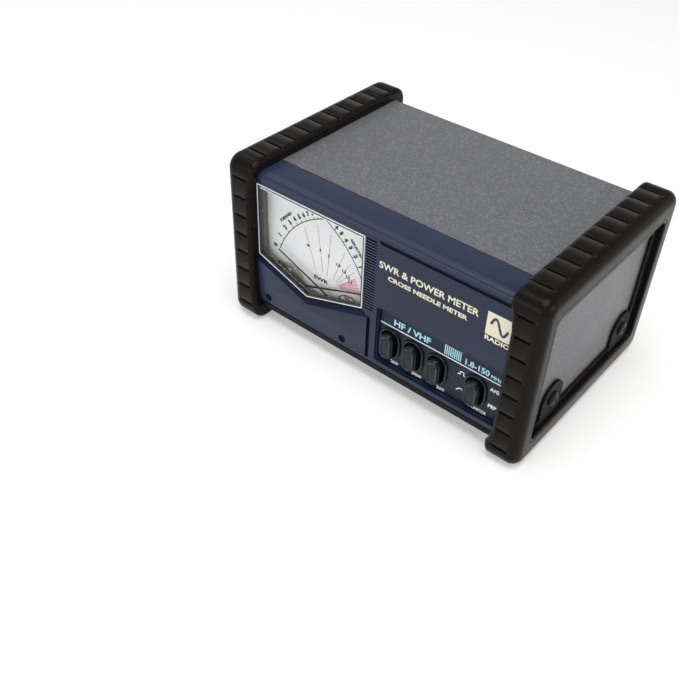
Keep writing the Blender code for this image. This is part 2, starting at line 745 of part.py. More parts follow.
def make_coupler():
    (left, right), (front, rear), (bottom, top) = COUPLER
    case = piece("coupler_case", "steel", [box(*COUPLER)])
    inside = (front + SHEET, rear - SHEET)
    cut(case, box((left + SHEET, right - SHEET), inside, (bottom + SHEET, top + 5)))
    cut(case, *[rod("y", (x, SOCKET_Z), SOCKET_HOLE, 44, 47, 24) for x in SOCKETS.values()])
    line = (30.0, SOCKET_Z)
    reach = SOCKETS["input"] + 2
    piece("line_rod", "brass", [rod("x", line, 1.5, -reach, reach, 14)])
    piece("toroid_core", "ferrite", [tube("x", line, 9.5, 5.0, -4.0, 4.0, 24)])


def make_dc_jack():
    body = [(36.0, 3.9), (47.7, 3.9), (47.7, 5.6), (49.2, 5.6)]
    body += [(49.2, 2.8), (40.0, 2.8), (40.0, 1.0), (48.2, 1.0)]
    piece("dc_jack", "black_plastic", [turned("y", JACK, body, 20)])
    nut = piece("dc_jack_nut", "nickel", [prism("y", hexagon(JACK, 11.0), 43.7, 45.7)])
    cut(nut, rod("y", JACK, 4.2, 43, 47, 20))


clear_scene()
MATERIALS = make_materials()
ROOT = make_root()
make_end_frames()
make_cover()
make_chassis()
make_rear_panel()
make_bezel()
make_control_plate()
make_meter_window()
make_switches()
make_switch_board()
make_meter()
for socket_word, socket_x in SOCKETS.items():
    make_socket(socket_word, socket_x)
make_coupler()
make_dc_jack()
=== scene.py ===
"""Looks of the cross-needle SWR and power meter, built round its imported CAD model.

Sizes are in millimetres in the meter's own axes, which are the frame's with Y measured from the
middle of the end frames: +X to the right seen from the front, the front looks along -Y, +Z up.
"""

import json
from math import cos, hypot, pi, radians, sin, sqrt

import bmesh
import bpy
from mathutils import Euler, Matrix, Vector


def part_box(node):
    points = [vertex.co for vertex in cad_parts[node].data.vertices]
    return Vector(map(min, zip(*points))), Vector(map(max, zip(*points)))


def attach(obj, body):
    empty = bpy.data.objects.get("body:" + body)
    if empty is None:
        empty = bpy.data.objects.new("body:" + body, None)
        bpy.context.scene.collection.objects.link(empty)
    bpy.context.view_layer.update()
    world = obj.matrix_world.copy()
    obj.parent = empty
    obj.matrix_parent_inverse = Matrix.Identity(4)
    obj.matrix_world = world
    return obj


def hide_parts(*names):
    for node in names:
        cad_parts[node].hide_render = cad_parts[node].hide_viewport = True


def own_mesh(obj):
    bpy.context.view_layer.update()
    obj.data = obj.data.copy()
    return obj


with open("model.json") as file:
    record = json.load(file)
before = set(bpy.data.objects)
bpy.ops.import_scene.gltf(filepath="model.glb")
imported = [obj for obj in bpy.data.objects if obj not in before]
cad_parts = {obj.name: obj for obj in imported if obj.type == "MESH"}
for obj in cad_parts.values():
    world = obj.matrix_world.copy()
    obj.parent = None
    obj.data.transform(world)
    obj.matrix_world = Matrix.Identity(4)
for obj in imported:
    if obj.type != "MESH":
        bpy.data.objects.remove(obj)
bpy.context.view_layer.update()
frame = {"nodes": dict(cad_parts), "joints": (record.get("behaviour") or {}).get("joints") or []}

MM = 0.001
NEEDLES = ("forward", "reflected")
BUTTONS = {
    "range_low": "range_button_low",
    "range_mid": "range_button_mid",
    "range_high": "range_button_high",
    "monitor": "monitor_button",
}
MIDDLE_Y = sum(corner.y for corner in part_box("left_end_frame")) / 2 / MM


def corners(node):
    """A CAD node's lowest and highest corner in the meter's own axes, in millimetres."""
    return [(p.x / MM, p.y / MM - MIDDLE_Y, p.z / MM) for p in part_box(node)]


def middle(node):
    """A CAD node's middle in the meter's own axes, in millimetres."""
    low, high = corners(node)
    return [(a + b) / 2 for a, b in zip(low, high)]


# End frames. An opening in a side is ((front, rear), (bottom, top)).
(FRAME_INNER_X, _, _), (FRAME_X, FRAME_Y, FRAME_TOP) = corners("right_end_frame")
FRAME_CORNER = 7.0
OUTER_FILLET = 5.0
INNER_FILLET = 2.2
FRONT_ARM_FLARE = 2.2  # how much further out the front arm's inner edge stands than the bars'
FLARE_ENDS = (8.5, 15.0, 71.0, 80.0)  # the heights where it starts, is full, is still full and ends
TREAD_PITCH = 9.9
TREAD_DEPTH = 1.0
TREADS_ALONG = 10
TREADS_UP = 8
# Across the treads: (x, share of the groove's depth, share of the flare)
TREAD_SECTIONS = (
    (69.9, 1.0, 0.3), (70.6, 1.0, 0.0), (73.5, 1.0, 0.0),
    (76.2, 1.0, 0.0), (76.9, 0.85, 0.0), (77.4, 0.35, 0.0),
)
CAVITY = ((-51.5, 47.7), (7.5, 82.6))
CAVITY_CORNER = 1.2
CAVITY_X = 79.3
SIDE_WINDOW = ((-46.0, 45.7), (11.5, 76.5))
SIDE_CORNER = 4.0
FLANGE_WINDOW = ((-41.0, 40.5), (15.5, 71.5))
FLANGE_CORNER = 2.0
FLANGE_X = 80.3
TAB_RADIUS = 8.5
TABS = [middle(f"end_frame_screw_right_{end}")[1:] for end in ("front", "rear")]
SCREW_TIP = corners("end_frame_screw_right_front")[0][0]
SCREW_SEAT = FLANGE_X + 0.2
# A pan head, as (height over its seat, radius)
SCREW_HEAD = ((0.0, 1.5), (0.0, 3.3), (0.4, 3.4), (0.9, 3.2), (1.3, 2.6), (1.55, 1.6), (1.6, 0.6))

# Front. An opening or strip is ((left, right), (bottom, top)).
(_, BEZEL_FRONT, BEZEL_BOTTOM), (BEZEL_X, BEZEL_REAR, BEZEL_TOP) = corners("front_bezel")
BEZEL_WALL = 2.0
CLEAR = 1.8  # how far a cutter starts in front of the bezel
THROUGH = 3.2  # a cut's depth that goes right through its wall
(LENS_LEFT, LENS_FRONT, LENS_LOW), (LENS_RIGHT, LENS_BACK, LENS_HIGH) = corners("meter_window")
LENS_LIP = 1.5
WINDOW = [
    (LENS_LEFT + LENS_LIP, LENS_HIGH - LENS_LIP),
    (LENS_LEFT + LENS_LIP, 38.9),
    (-37.3, LENS_LOW + LENS_LIP + 0.08),
    (LENS_RIGHT - LENS_LIP, 38.9),
    (LENS_RIGHT - LENS_LIP, LENS_HIGH - LENS_LIP),
]
RIB_STRIP = ((-4.4, 1.3), (40.0, 77.0))
RIB_COUNT = 26
RIB_DEPTH = 1.0
HEADER_GROOVE = ((2.6, 76.0), (76.2, 78.2))
APRON_SLOT = ((-2.0, -0.1), (12.8, 36.0))
RECESS = ((3.9, 69.8), (14.6, 43.5))
RECESS_STEP = 0.7
(_, COLLAR_FRONT, _), (_, PLATE_BACK, _) = corners("control_plate")
PLATE_FRONT = COLLAR_FRONT + 1.0
CAP_LOW, CAP_HIGH = corners("monitor_button")
CAP_FLANGE = 1.6
BUTTON_SIZE = [CAP_HIGH[i] - CAP_LOW[i] - 2 * CAP_FLANGE for i in (0, 2)]
OPENING_SIZE = (9.0, 14.6)
COLLAR_SIZE = (11.6, 16.4)
BUTTON_Z = middle("monitor_button")[2]

# Meter
DIAL_FRONT = corners("dial_plate")[0][1]
FORWARD_PIVOT, REFLECTED_PIVOT = [middle(f"{word}_magnet")[::2] for word in NEEDLES]
# Angles round a pivot are in degrees from the right; these two are the needles' at zero power
FORWARD_REST = 158.4
REFLECTED_REST = 20.0
REFLECTED_SCALE = (16.0, 66.5)  # where its arc starts and ends
SWEEP = next(j for j in frame["joints"] if j["name"] == "forward_pointer_swing")["range_deg"][1]
FORWARD_ARC = 45.5
REFLECTED_ARC = 52.0
# Each standing wave ratio's label, its line's upper and lower ends, and its label's middle
SWR_MARKS = (
    ("8", (-44.6, 60.2), (-37.6, 40.1), (-42.3, 51.4)),
    ("3", (-36.8, 64.8), (-33.4, 40.8), (-35.1, 52.2)),
    ("2", (-29.0, 63.0), (-30.8, 39.6), (-30.0, 51.3)),
    ("1.5", (-20.8, 57.4), (-27.4, 39.3), (-24.3, 49.0)),
    ("1.3", (-17.4, 52.9), (-25.6, 38.6), (-20.9, 47.2)),
    ("1.2", (-15.2, 49.5), (-25.4, 37.8), (-18.6, 45.2)),
    ("1.1", (-14.2, 46.5), (-25.2, 37.2), (-17.2, 43.2)),
)

PRINT = 0.06  # how thick printed lines and letters are
# Which coordinates an outline's two numbers are, and which one it is extruded along
PLANES = {"x": (1, 2, 0), "y": (0, 2, 1), "z": (0, 1, 2)}


# --- Shapes ---


def to_frame(point):
    """A point in the meter's own axes and millimetres, as one in the frame's metres."""
    return Vector((point[0], point[1] + MIDDLE_Y, point[2])) * MM


def place(axis, u, v, along):
    """An outline's point (u, v), at its place along the axis."""
    first, second, last = PLANES[axis]
    point = [0.0, 0.0, 0.0]
    point[first], point[second], point[last] = u, v, along
    return point


def loft(rings, loop=False):
    """A closed solid through rings of equal count: capped at both ends, or joined end to start."""
    solid = bmesh.new()
    rows = [[solid.verts.new(to_frame(point)) for point in ring] for ring in rings]
    count = len(rows[0])
    pairs = list(zip(rows, rows[1:]))
    if loop:
        pairs.append((rows[-1], rows[0]))
    else:
        solid.faces.new(rows[0])
        solid.faces.new(rows[-1])
    for near, far in pairs:
        for i in range(count):
            j = (i + 1) % count
            solid.faces.new((near[i], near[j], far[j], far[i]))
    bmesh.ops.recalc_face_normals(solid, faces=solid.faces)
    return solid


def prism(axis, outline, low, high):
    return loft([[place(axis, u, v, along) for u, v in outline] for along in (low, high)])


def rectangle(across, up):
    return [(across[0], up[0]), (across[1], up[0]), (across[1], up[1]), (across[0], up[1])]


def box(x, y, z):
    return prism("z", rectangle(x, y), z[0], z[1])


def arc(centre, radius, start, end, steps):
    """Points on an arc, angles in degrees from the outline's first axis."""
    angles = [radians(start + (end - start) * i / steps) for i in range(steps + 1)]
    return [(centre[0] + radius * cos(a), centre[1] + radius * sin(a)) for a in angles]


def rounded(across, up, radius, steps=6):
    corner_arcs = (
        (across[1] - radius, up[1] - radius, 0),
        (across[0] + radius, up[1] - radius, 90),
        (across[0] + radius, up[0] + radius, 180),
        (across[1] - radius, up[0] + radius, 270),
    )
    points = []
    for u, v, start in corner_arcs:
        points += arc((u, v), radius, start, start + 90, steps)
    return points


def stadium(centre, size, grow=0.0, steps=14):
    """An upright oval with straight sides."""
    radius = size[0] / 2 + grow
    straight = (size[1] - size[0]) / 2
    top = arc((centre[0], centre[1] + straight), radius, 0, 180, steps)
    bottom = arc((centre[0], centre[1] - straight), radius, 180, 360, steps)
    return top + bottom


def shifted(profile, start):
    """A profile moved along its axis."""
    return [(start + along, size) for along, size in profile]


def turned(axis, centre, profile, sides, loop=False):
    """A profile of (along, radius) turned about a line through centre."""
    rings = []
    for along, radius in profile:
        ring = arc(centre, radius, 0, 360 - 360 / sides, sides - 1)
        rings.append([place(axis, u, v, along) for u, v in ring])
    return loft(rings, loop)


def rod(axis, centre, radius, low, high, sides=32):
    return turned(axis, centre, [(low, radius), (high, radius)], sides)


def turned_outline(outline, centre, degrees):
    """An outline turned about the origin and then moved to centre."""
    c, s = cos(radians(degrees)), sin(radians(degrees))
    return [(centre[0] + u * c - v * s, centre[1] + u * s + v * c) for u, v in outline]


def grown(outline, amount):
    """A convex outline with every side moved outwards by amount."""
    centre = [sum(point[i] for point in outline) / len(outline) for i in (0, 1)]
    lines = []
    for (u0, v0), (u1, v1) in zip(outline, outline[1:] + outline[:1]):
        length = hypot(u1 - u0, v1 - v0)
        normal = ((v1 - v0) / length, -(u1 - u0) / length)
        offset = normal[0] * u0 + normal[1] * v0
        if normal[0] * centre[0] + normal[1] * centre[1] > offset:
            normal = (-normal[0], -normal[1])
            offset = -offset
        lines.append((normal, offset + amount))
    points = []
    for (first, a), (second, b) in zip(lines[-1:] + lines[:-1], lines):
        cross = first[0] * second[1] - first[1] * second[0]
        points.append(((a * second[1] - b * first[1]) / cross, (first[0] * b - second[0] * a) / cross))
    return points


def ring(outer, inner, front, back):
    """The solid between two outlines of equal count, facing the front."""
    levels = ((outer, front), (outer, back), (inner, back), (inner, front))
    return loft([[place("y", u, v, y) for u, v in line] for line, y in levels], loop=True)


def layered(outline_at, levels):
    """A solid through outlines: levels are (y, grow), and outline_at turns grow into an outline."""
    return loft([[place("y", u, v, y) for u, v in outline_at(grow)] for y, grow in levels])


def strip(points, width, front):
    """A flat printed line of one width through points, facing the front."""
    rows = []
    for i, (u, v) in enumerate(points):
        before, after = points[max(i - 1, 0)], points[min(i + 1, len(points) - 1)]
        length = hypot(after[0] - before[0], after[1] - before[1])
        side = (-(after[1] - before[1]) / length * width / 2, (after[0] - before[0]) / length * width / 2)
        near, far = (u + side[0], v + side[1]), (u - side[0], v - side[1])
        back = front + PRINT
        rows.append([(p[0], y, p[1]) for p, y in ((near, front), (far, front), (far, back), (near, back))])
    return loft(rows)


def new_object(name, data):
    made = bpy.data.objects.new(name, data)
    bpy.context.scene.collection.objects.link(made)
    return made


def applied(source):
    """A new mesh of an object as its modifiers or its words leave it."""
    return bpy.data.meshes.new_from_object(source.evaluated_get(bpy.context.evaluated_depsgraph_get()))


def lettering(words, at, height, front, bold, width=None, turn=0.0):
    """Words as thin solid letters: at is their base line's start, or its middle without a width."""
    data = bpy.data.curves.new("words", "FONT")
    data.body = words
    data.extrude = 0.01
    data.offset = bold
    data.resolution_u = 3
    text = new_object("words", data)
    bpy.context.view_layer.update()
    mesh = applied(text)
    bpy.data.objects.remove(text)
    bpy.data.curves.remove(data)
    low = [min(v.co[i] for v in mesh.vertices) for i in (0, 1)]
    high = [max(v.co[i] for v in mesh.vertices) for i in (0, 1)]
    up = height / (high[1] - low[1])
    across = up if width is None else width / (high[0] - low[0])
    start = (high[0] + low[0]) / 2 if width is None else low[0]
    points = [((v.co.x - start) * across, (v.co.y - low[1]) * up) for v in mesh.vertices]
    for v, (x, z) in zip(mesh.vertices, turned_outline(points, at, turn)):
        v.co = to_frame((x, front if v.co.z > 0 else front + PRINT, z))
    solid = bmesh.new()
    solid.from_mesh(mesh)
    bmesh.ops.remove_doubles(solid, verts=solid.verts, dist=1e-7)
    bpy.data.meshes.remove(mesh)
    return solid


# --- Materials ---


def material(title, colour, roughness, metallic=0.0, **detail):
    """A Principled material with its own grain.

    detail: spread (how far the colour wanders), grain (mm, the fine texture's size), bump (mm, its
    height), patch (mm, the slow variation's size), polish (how far the roughness wanders), specks
    (colour of scattered dots, and the noise between which they start and are full: flecks in the paint,
    painted glints elsewhere), speck_size (mm), worn (a painted highlight: the lighter colour along
    sharp edges), tint (colour of the reflections), emission (strength), and
    coat, specular, transmission, ior and alpha as the shader has them.
    """
    made = bpy.data.materials.new(title)
    made.use_nodes = True
    nodes, links = made.node_tree.nodes, made.node_tree.links
    shader = nodes["Principled BSDF"]
    place_node = nodes.new("ShaderNodeTexCoord")

    def noise(size, octaves):
        node = nodes.new("ShaderNodeTexNoise")
        node.inputs["Scale"].default_value = 1 / (size * MM)
        node.inputs["Detail"].default_value = octaves
        links.new(place_node.outputs["Object"], node.inputs["Vector"])
        return node.outputs["Fac"]

    def mapped(value, low, high, start=0.3, end=0.7):
        node = nodes.new("ShaderNodeMapRange")
        for name, number in (("From Min", start), ("From Max", end), ("To Min", low), ("To Max", high)):
            node.inputs[name].default_value = number
        links.new(value, node.inputs["Value"])
        return node.outputs["Result"]

    def mixed(factor, first, second):
        node = nodes.new("ShaderNodeMix")
        node.data_type = "RGBA"
        links.new(factor, node.inputs["Factor"])
        for socket, value in ((node.inputs["A"], first), (node.inputs["B"], second)):
            if isinstance(value, bpy.types.NodeSocket):
                links.new(value, socket)
            else:
                socket.default_value = (*value, 1.0)
        return node.outputs["Result"]

    spread = detail.get("spread", 0.12)
    grain = detail.get("grain", 0.6)
    dark = tuple(c * (1 - spread) for c in colour)
    light = tuple(min(c * (1 + spread), 1.0) for c in colour)
    fine = noise(grain, 3)
    slow = noise(detail.get("patch", 14.0), 2)
    tone = mixed(mapped(fine, 0.0, 1.0), dark, light)
    tone = mixed(mapped(slow, 0.0, 0.8, 0.1, 0.9), tone, dark)
    if "specks" in detail:
        fleck, low, high = detail["specks"]
        spots = noise(detail.get("speck_size", 0.5), 1)
        tone = mixed(mapped(spots, 0.0, 1.0, low, high), tone, fleck)
    # Painted highlight: a lighter colour along sharp edges, where they catch the light
    if "worn" in detail:
        geometry = nodes.new("ShaderNodeNewGeometry")
        edge = mapped(geometry.outputs["Pointiness"], 0.0, 0.7, 0.52, 0.62)
        tone = mixed(edge, tone, detail["worn"])
    links.new(tone, shader.inputs["Base Color"])
    polish = detail.get("polish", 0.08)
    rough = mapped(slow, roughness - 1.5 * polish, roughness + 1.5 * polish, 0.1, 0.9)
    links.new(rough, shader.inputs["Roughness"])
    for socket, value in (
        ("Metallic", metallic),
        ("IOR", detail.get("ior", 1.5)),
        ("Specular IOR Level", detail.get("specular", 0.5)),
        ("Specular Tint", (*detail.get("tint", (1.0, 1.0, 1.0)), 1.0)),
        ("Coat Weight", detail.get("coat", 0.0)),
        ("Coat Roughness", 0.08),
        ("Transmission Weight", detail.get("transmission", 0.0)),
        ("Alpha", detail.get("alpha", 1.0)),
    ):
        shader.inputs[socket].default_value = value
    bump = nodes.new("ShaderNodeBump")
    bump.inputs["Distance"].default_value = detail.get("bump", 0.02) * MM
    links.new(fine, bump.inputs["Height"])
    links.new(bump.outputs["Normal"], shader.inputs["Normal"])
    if "emission" in detail:
        shader.inputs["Emission Color"].default_value = (*colour, 1.0)
        shader.inputs["Emission Strength"].default_value = detail["emission"]
    return made


MATERIALS = {
    # Its lighter colour along sharp edges is a painted highlight
    "bumper": material(
        "moulded_bumper", (0.0082, 0.0070, 0.0064), 0.24, spread=0.35, grain=0.35, bump=0.006,
        worn=(0.03, 0.026, 0.023), specular=0.08, tint=(1.0, 0.93, 0.87),
    ),
    # Near-black painted shade, for tabs, groove and slot floors and strips that lie in shade
    "shade_black": material(
        "painted_shade_black", (0.006, 0.006, 0.0075), 0.60, spread=0.3, grain=0.4, specular=0.1,
    ),
    "cover": material(
        "speckled_paint", (0.112, 0.115, 0.127), 0.42, spread=0.18, grain=0.9,
        specks=((0.165, 0.165, 0.178), 0.55, 0.71), speck_size=0.9, patch=60, specular=0.4,
    ),
    "chassis": material(
        "chassis_paint", (0.007, 0.0075, 0.0095), 0.45, spread=0.2, grain=0.4, specular=0.1,
    ),
    # Its lighter colour along sharp edges is a painted highlight
    "bezel": material(
        "navy_plastic", (0.010, 0.018, 0.046), 0.30, spread=0.18, grain=0.25, bump=0.010, patch=25,
        polish=0.0, worn=(0.03, 0.04, 0.075), specular=0.27,
    ),
    "plate": material(
        "slate_plastic", (0.008, 0.013, 0.027), 0.40, spread=0.2, grain=0.25, bump=0.012, specular=0.26,
        tint=(0.80, 0.91, 1.0),
    ),
    "button": material(
        "button_plastic", (0.006, 0.008, 0.014), 0.18, spread=0.15, grain=0.3, bump=0.008, specular=0.34,
        tint=(0.80, 0.90, 1.0), polish=0.03,
    ),
    "gloss": material(
        "glossy_sleeve", (0.003, 0.004, 0.006), 0.14, spread=0.2, grain=0.5, bump=0.003, specular=0.3,
    ),
    "collar": material(
        "collar_plastic", (0.006, 0.009, 0.016), 0.34, spread=0.2, grain=0.25, bump=0.012, specular=0.35,
    ),
    # Painted shade: a deep blue for the band under the lens
    "shade_blue": material(
        "painted_shade_blue_plastic", (0.002, 0.009, 0.032), 0.45, spread=0.2, grain=0.25, bump=0.01, specular=0.10,
        tint=(0.7, 0.85, 1.0),
    ),
    "crest": material("painted_rib_highlights", (0.055, 0.075, 0.125), 0.34, spread=0.2, grain=0.3, bump=0.01),
    # Brownish grey with white specks painted in as glints of light refracted in the clear plastic
    "lens_side_painted_glints": material(
        "lens_side_painted_glints", (0.075, 0.066, 0.060), 0.22, spread=0.5, grain=0.9, bump=0.03,
        specks=((0.75, 0.73, 0.70), 0.66, 0.72), speck_size=0.7,
    ),
    "black": material("black_plastic", (0.010, 0.010, 0.011), 0.35, spread=0.25, grain=0.3),
    # Painted glint: near-white with a faint glow, for the lens's bright edge and the movements' screw heads
    "glint": material(
        "painted_glint_white", (0.74, 0.76, 0.78), 0.14, grain=2.0, bump=0.004, coat=0.6, emission=0.08,
    ),
    "wall": material("grey_wall", (0.13, 0.12, 0.115), 0.45, grain=1.2, bump=0.01),
    "pane": material(
        "clear_pane", (0.004, 0.005, 0.006), 0.06, spread=0.05, grain=8.0, bump=0.0006, polish=0.02,
        ior=2.2, alpha=0.04,
    ),
    "card": material("dial_card", (0.88, 0.89, 0.90), 0.62, spread=0.03, grain=0.5, bump=0.008, patch=30),
    "ink": material("dial_ink", (0.012, 0.012, 0.014), 0.55, spread=0.3, grain=0.2),
    "red_ink": material("red_ink", (0.42, 0.15, 0.18), 0.55, spread=0.15, grain=0.3),
    "pink_ink": material("pink_ink", (0.86, 0.62, 0.66), 0.60, spread=0.06, grain=0.5),
    "needle": material("needle_paint", (0.012, 0.012, 0.013), 0.40, spread=0.2, grain=0.3),
    "cream_ink": material("cream_ink", (0.72, 0.68, 0.53), 0.50, spread=0.06, grain=0.4, bump=0.006),
    "cyan_ink": material("cyan_ink", (0.38, 0.72, 0.82), 0.50, spread=0.08, grain=0.4, bump=0.006),
    "white_ink": material("white_ink", (0.86, 0.88, 0.92), 0.50, spread=0.06, grain=0.4, bump=0.006),
    "navy_ink": material("navy_ink", (0.014, 0.022, 0.05), 0.50, spread=0.2, grain=0.3),
    "nickel": material("nickel_plate", (0.66, 0.64, 0.59), 0.24, 1.0, spread=0.08, grain=0.5, bump=0.006),
    "steel": material("steel", (0.50, 0.50, 0.51), 0.32, 1.0, spread=0.1, grain=0.4, bump=0.01),
    "dark_steel": material(
        "black_screw", (0.012, 0.012, 0.013), 0.40, 0.3, spread=0.2, grain=0.3, specular=0.2,
    ),
    # Bronze painted lighter than it is to make up for the shade inside the meter, with white specks painted
    # in as glints
    "bronze_with_painted_light": material(
        "bronze_with_painted_light", (0.40, 0.32, 0.26), 0.36, 0.45, spread=0.55, grain=0.8, bump=0.05,
        specks=((0.9, 0.88, 0.84), 0.64, 0.70), speck_size=0.9,
    ),
    "gold": material("polished_brass", (0.86, 0.62, 0.30), 0.20, 1.0, spread=0.1, grain=0.4),
    "copper": material("copper_wire", (0.60, 0.25, 0.11), 0.32, 1.0, spread=0.2, grain=0.15, bump=0.04),
    "ferrite": material("ferrite", (0.035, 0.034, 0.035), 0.50, spread=0.25, grain=0.3, bump=0.03),
    "cream": material("cream_plastic", (0.70, 0.68, 0.60), 0.42, spread=0.06),
    "board": material("board", (0.020, 0.10, 0.045), 0.38, spread=0.2, grain=0.8, coat=0.3),
    "lamp": material("lamp_glass", (0.85, 0.80, 0.62), 0.12, spread=0.05, grain=1.0, transmission=0.5),
    "floor": material(
        "floor", (0.62, 0.62, 0.62), 0.75, spread=0.01, grain=6.0, bump=0.01, patch=300, emission=0.55,
    ),
}


# --- Pieces ---


def add_object(name, solids):
    """Solids that stand apart, in one object that isn't a piece yet."""
    mesh = bpy.data.meshes.new(name)
    whole = bmesh.new()
    for solid in solids:
        solid.to_mesh(mesh)
        whole.from_mesh(mesh)
        solid.free()
    whole.to_mesh(mesh)
    whole.free()
    return new_object(name, mesh)


def shade(target):
    """Smooth, but for its sharp edges."""
    target.data.shade_smooth()
    target.data.set_sharp_from_angle(angle=radians(35))


def make(name, look, solids, body="housing", stands_for=()):
    """One visible piece, riding on its body."""
    made = add_object(name, solids)
    made.data.materials.append(MATERIALS[look])
    shade(made)
    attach(made, body)
    if stands_for:
        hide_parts(*stands_for)
    return made


def carve(target, *solids):
    """Take solids out of target by a Boolean applied at once, with nothing of it left in the scene."""
    tool = add_object("tool", solids)
    modifier = target.modifiers.new("carve", "BOOLEAN")
    modifier.operation = "DIFFERENCE"
    modifier.object = tool
    modifier.solver = "EXACT"
    result = applied(target)
    target.modifiers.remove(modifier)
    old, target.data = target.data, result
    bpy.data.meshes.remove(old)
    bpy.data.meshes.remove(tool.data)
    shade(target)


def soften(target, width, segments, angle):
    """Small rounds along the edges that turn by more than angle."""
    modifier = target.modifiers.new("soften", "BEVEL")
    modifier.width = width * MM
    modifier.segments = segments
    modifier.limit_method = "ANGLE"
    modifier.angle_limit = radians(angle)
    modifier.harden_normals = True
    modifier.miter_outer = "MITER_ARC"


def dress(look, *nodes):
    """A better material on CAD nodes that stay as they are."""
    for name in nodes:
        node = frame["nodes"][name]
        node.data.materials.clear()
        node.data.materials.append(MATERIALS[look])


# --- End frames ---


def stations(count, pitch, reach):
    """Where a straight side has its cross-sections, as (place, groove depth): closer in each groove."""
    half = ((0.9, 0.0), (0.72, 0.08), (0.58, 0.5), (0.45, 0.9))
    shape = [(-offset, depth) for offset, depth in half] + [(0.0, 1.0)] + list(half[::-1])
    found = [(-reach, 0.0)]
    for i in range(count):
        centre = (i - (count - 1) / 2) * pitch
        found += [(centre + offset, depth) for offset, depth in shape if abs(centre + offset) < reach]
    found.append((reach, 0.0))
    return found


ALONG = stations(TREADS_ALONG, TREAD_PITCH, FRAME_Y - FRAME_CORNER)
UP = stations(TREADS_UP, TREAD_PITCH, FRAME_TOP / 2 - FRAME_CORNER)
CORNER_STEPS = 12
OUTWARD = {"top": (0, 1), "bottom": (0, -1), "front": (-1, 0), "rear": (1, 0)}


def around(across, up, radius):
    """An outline with the frame's own cross-sections: (y, z, groove depth, side) at each."""
    (front, rear), (bottom, top) = across, up
    near, far = front + radius, rear - radius
    low, high = bottom + radius, top - radius
    # Each side's sections, where it starts and ends, and the middle of the corner that follows it
    sides = (
        ("top", ALONG, (far, top), (near, top), (near, high)),
        ("front", UP, (front, high), (front, low), (near, low)),
        ("bottom", ALONG, (near, bottom), (far, bottom), (far, low)),
        ("rear", UP, (rear, low), (rear, high), (far, high)),
    )
    points = []
    for i, (side, sections, start, end, centre) in enumerate(sides):
        reach = sections[-1][0]
        for offset, depth in sections:
            share = (offset + reach) / (2 * reach)
            y, z = (a + (b - a) * share for a, b in zip(start, end))
            points.append((y, z, depth, side))
        turn = arc(centre, radius, 90 * (i + 1), 90 * (i + 2), CORNER_STEPS)
        points += [(y, z, 0.0, side) for y, z in turn[1:-1]]
    return points


def flare(side, z):
    """How far out the inner edge stands at this height of the front arm."""
    low, near, far, high = FLARE_ENDS
    if side != "front" or not low < z < high:
        return 0.0
    return FRONT_ARM_FLARE * min(1.0, (z - low) / (near - low), (high - z) / (high - far)) ** 0.5


def frame_ring(sign, x, outline, normal, groove, edge):
    """One closed cross-section: groove is the share of the tread depth, edge that of the flare."""
    points = []
    for y, z, depth, side in outline:
        sunk = TREAD_DEPTH * depth * groove
        if side == "front" and x < FRAME_INNER_X + INNER_FILLET + 0.5:
            sunk = 0.0
        out_y, out_z = OUTWARD[side]
        x_here = sign * (x + edge * flare(side, z) - normal[0] * sunk)
        points.append((x_here, y - out_y * normal[1] * sunk, z - out_z * normal[1] * sunk))
    return points


def outer_outline(inset):
    return around((inset - FRAME_Y, FRAME_Y - inset), (inset, FRAME_TOP - inset), FRAME_CORNER - inset)


def window_outline(opening, radius, grow=0.0):
    (front, rear), (bottom, top) = opening
    return around((front - grow, rear + grow), (bottom - grow, top + grow), radius + grow)


def frame_solid(sign):
    """The ring round the case, as cross-sections from the inner edge over the outside and back."""
    rings = []

    def add(x, outline, normal=(0.0, 0.0), groove=0.0, edge=0.0):
        rings.append(frame_ring(sign, x, outline, normal, groove, edge))

    add(FRAME_INNER_X, window_outline(CAVITY, CAVITY_CORNER), edge=1.0)
    add(FRAME_INNER_X, outer_outline(INNER_FILLET + 0.9), edge=1.0)
    for step in range(7):
        turn = radians(15 * step)
        inset = INNER_FILLET * (1 - sin(turn))
        share = max(0.0, (turn - pi / 4) / (pi / 4))
        x = FRAME_INNER_X + INNER_FILLET * (1 - cos(turn))
        add(x, outer_outline(inset), (-cos(turn), sin(turn)), share, 1.0)
    for x, groove, edge in TREAD_SECTIONS:
        add(x, outer_outline(0), (0.0, 1.0), groove, edge)
    for step in range(1, 10):
        turn = radians(10 * step)
        add(FRAME_X - OUTER_FILLET * (1 - sin(turn)), outer_outline(OUTER_FILLET * (1 - cos(turn))))
    # A fine line is sunk round the window, just outside its rounded lip
    for grow, sunk in ((1.75, 0.0), (1.65, 0.12), (1.55, 0.4), (1.45, 0.12), (1.35, 0.0)):
        add(FRAME_X - sunk, window_outline(SIDE_WINDOW, SIDE_CORNER, grow))
    lip = 0.6
    for angle in (0, 30, 60, 90):
        turn = radians(angle)
        add(FRAME_X - lip * (1 - cos(turn)), window_outline(SIDE_WINDOW, SIDE_CORNER, lip * (1 - sin(turn))))
    add(FLANGE_X, window_outline(SIDE_WINDOW, SIDE_CORNER))
    add(FLANGE_X, window_outline(FLANGE_WINDOW, FLANGE_CORNER))
    add(CAVITY_X, window_outline(FLANGE_WINDOW, FLANGE_CORNER))
    add(CAVITY_X, window_outline(CAVITY, CAVITY_CORNER))
    return loft(rings, loop=True)


def tab(sign, centre):
    """A screw tab: it stands up from the window's lower edge with a round top."""
    foot = SIDE_WINDOW[1][0] + 1.0
    outline = arc(centre, TAB_RADIUS, 0, 180, 24)
    outline += [(centre[0] - TAB_RADIUS, foot), (centre[0] + TAB_RADIUS, foot)]
    return prism("x", outline, sign * (CAVITY_X - 0.05), sign * (FLANGE_X + 0.1))


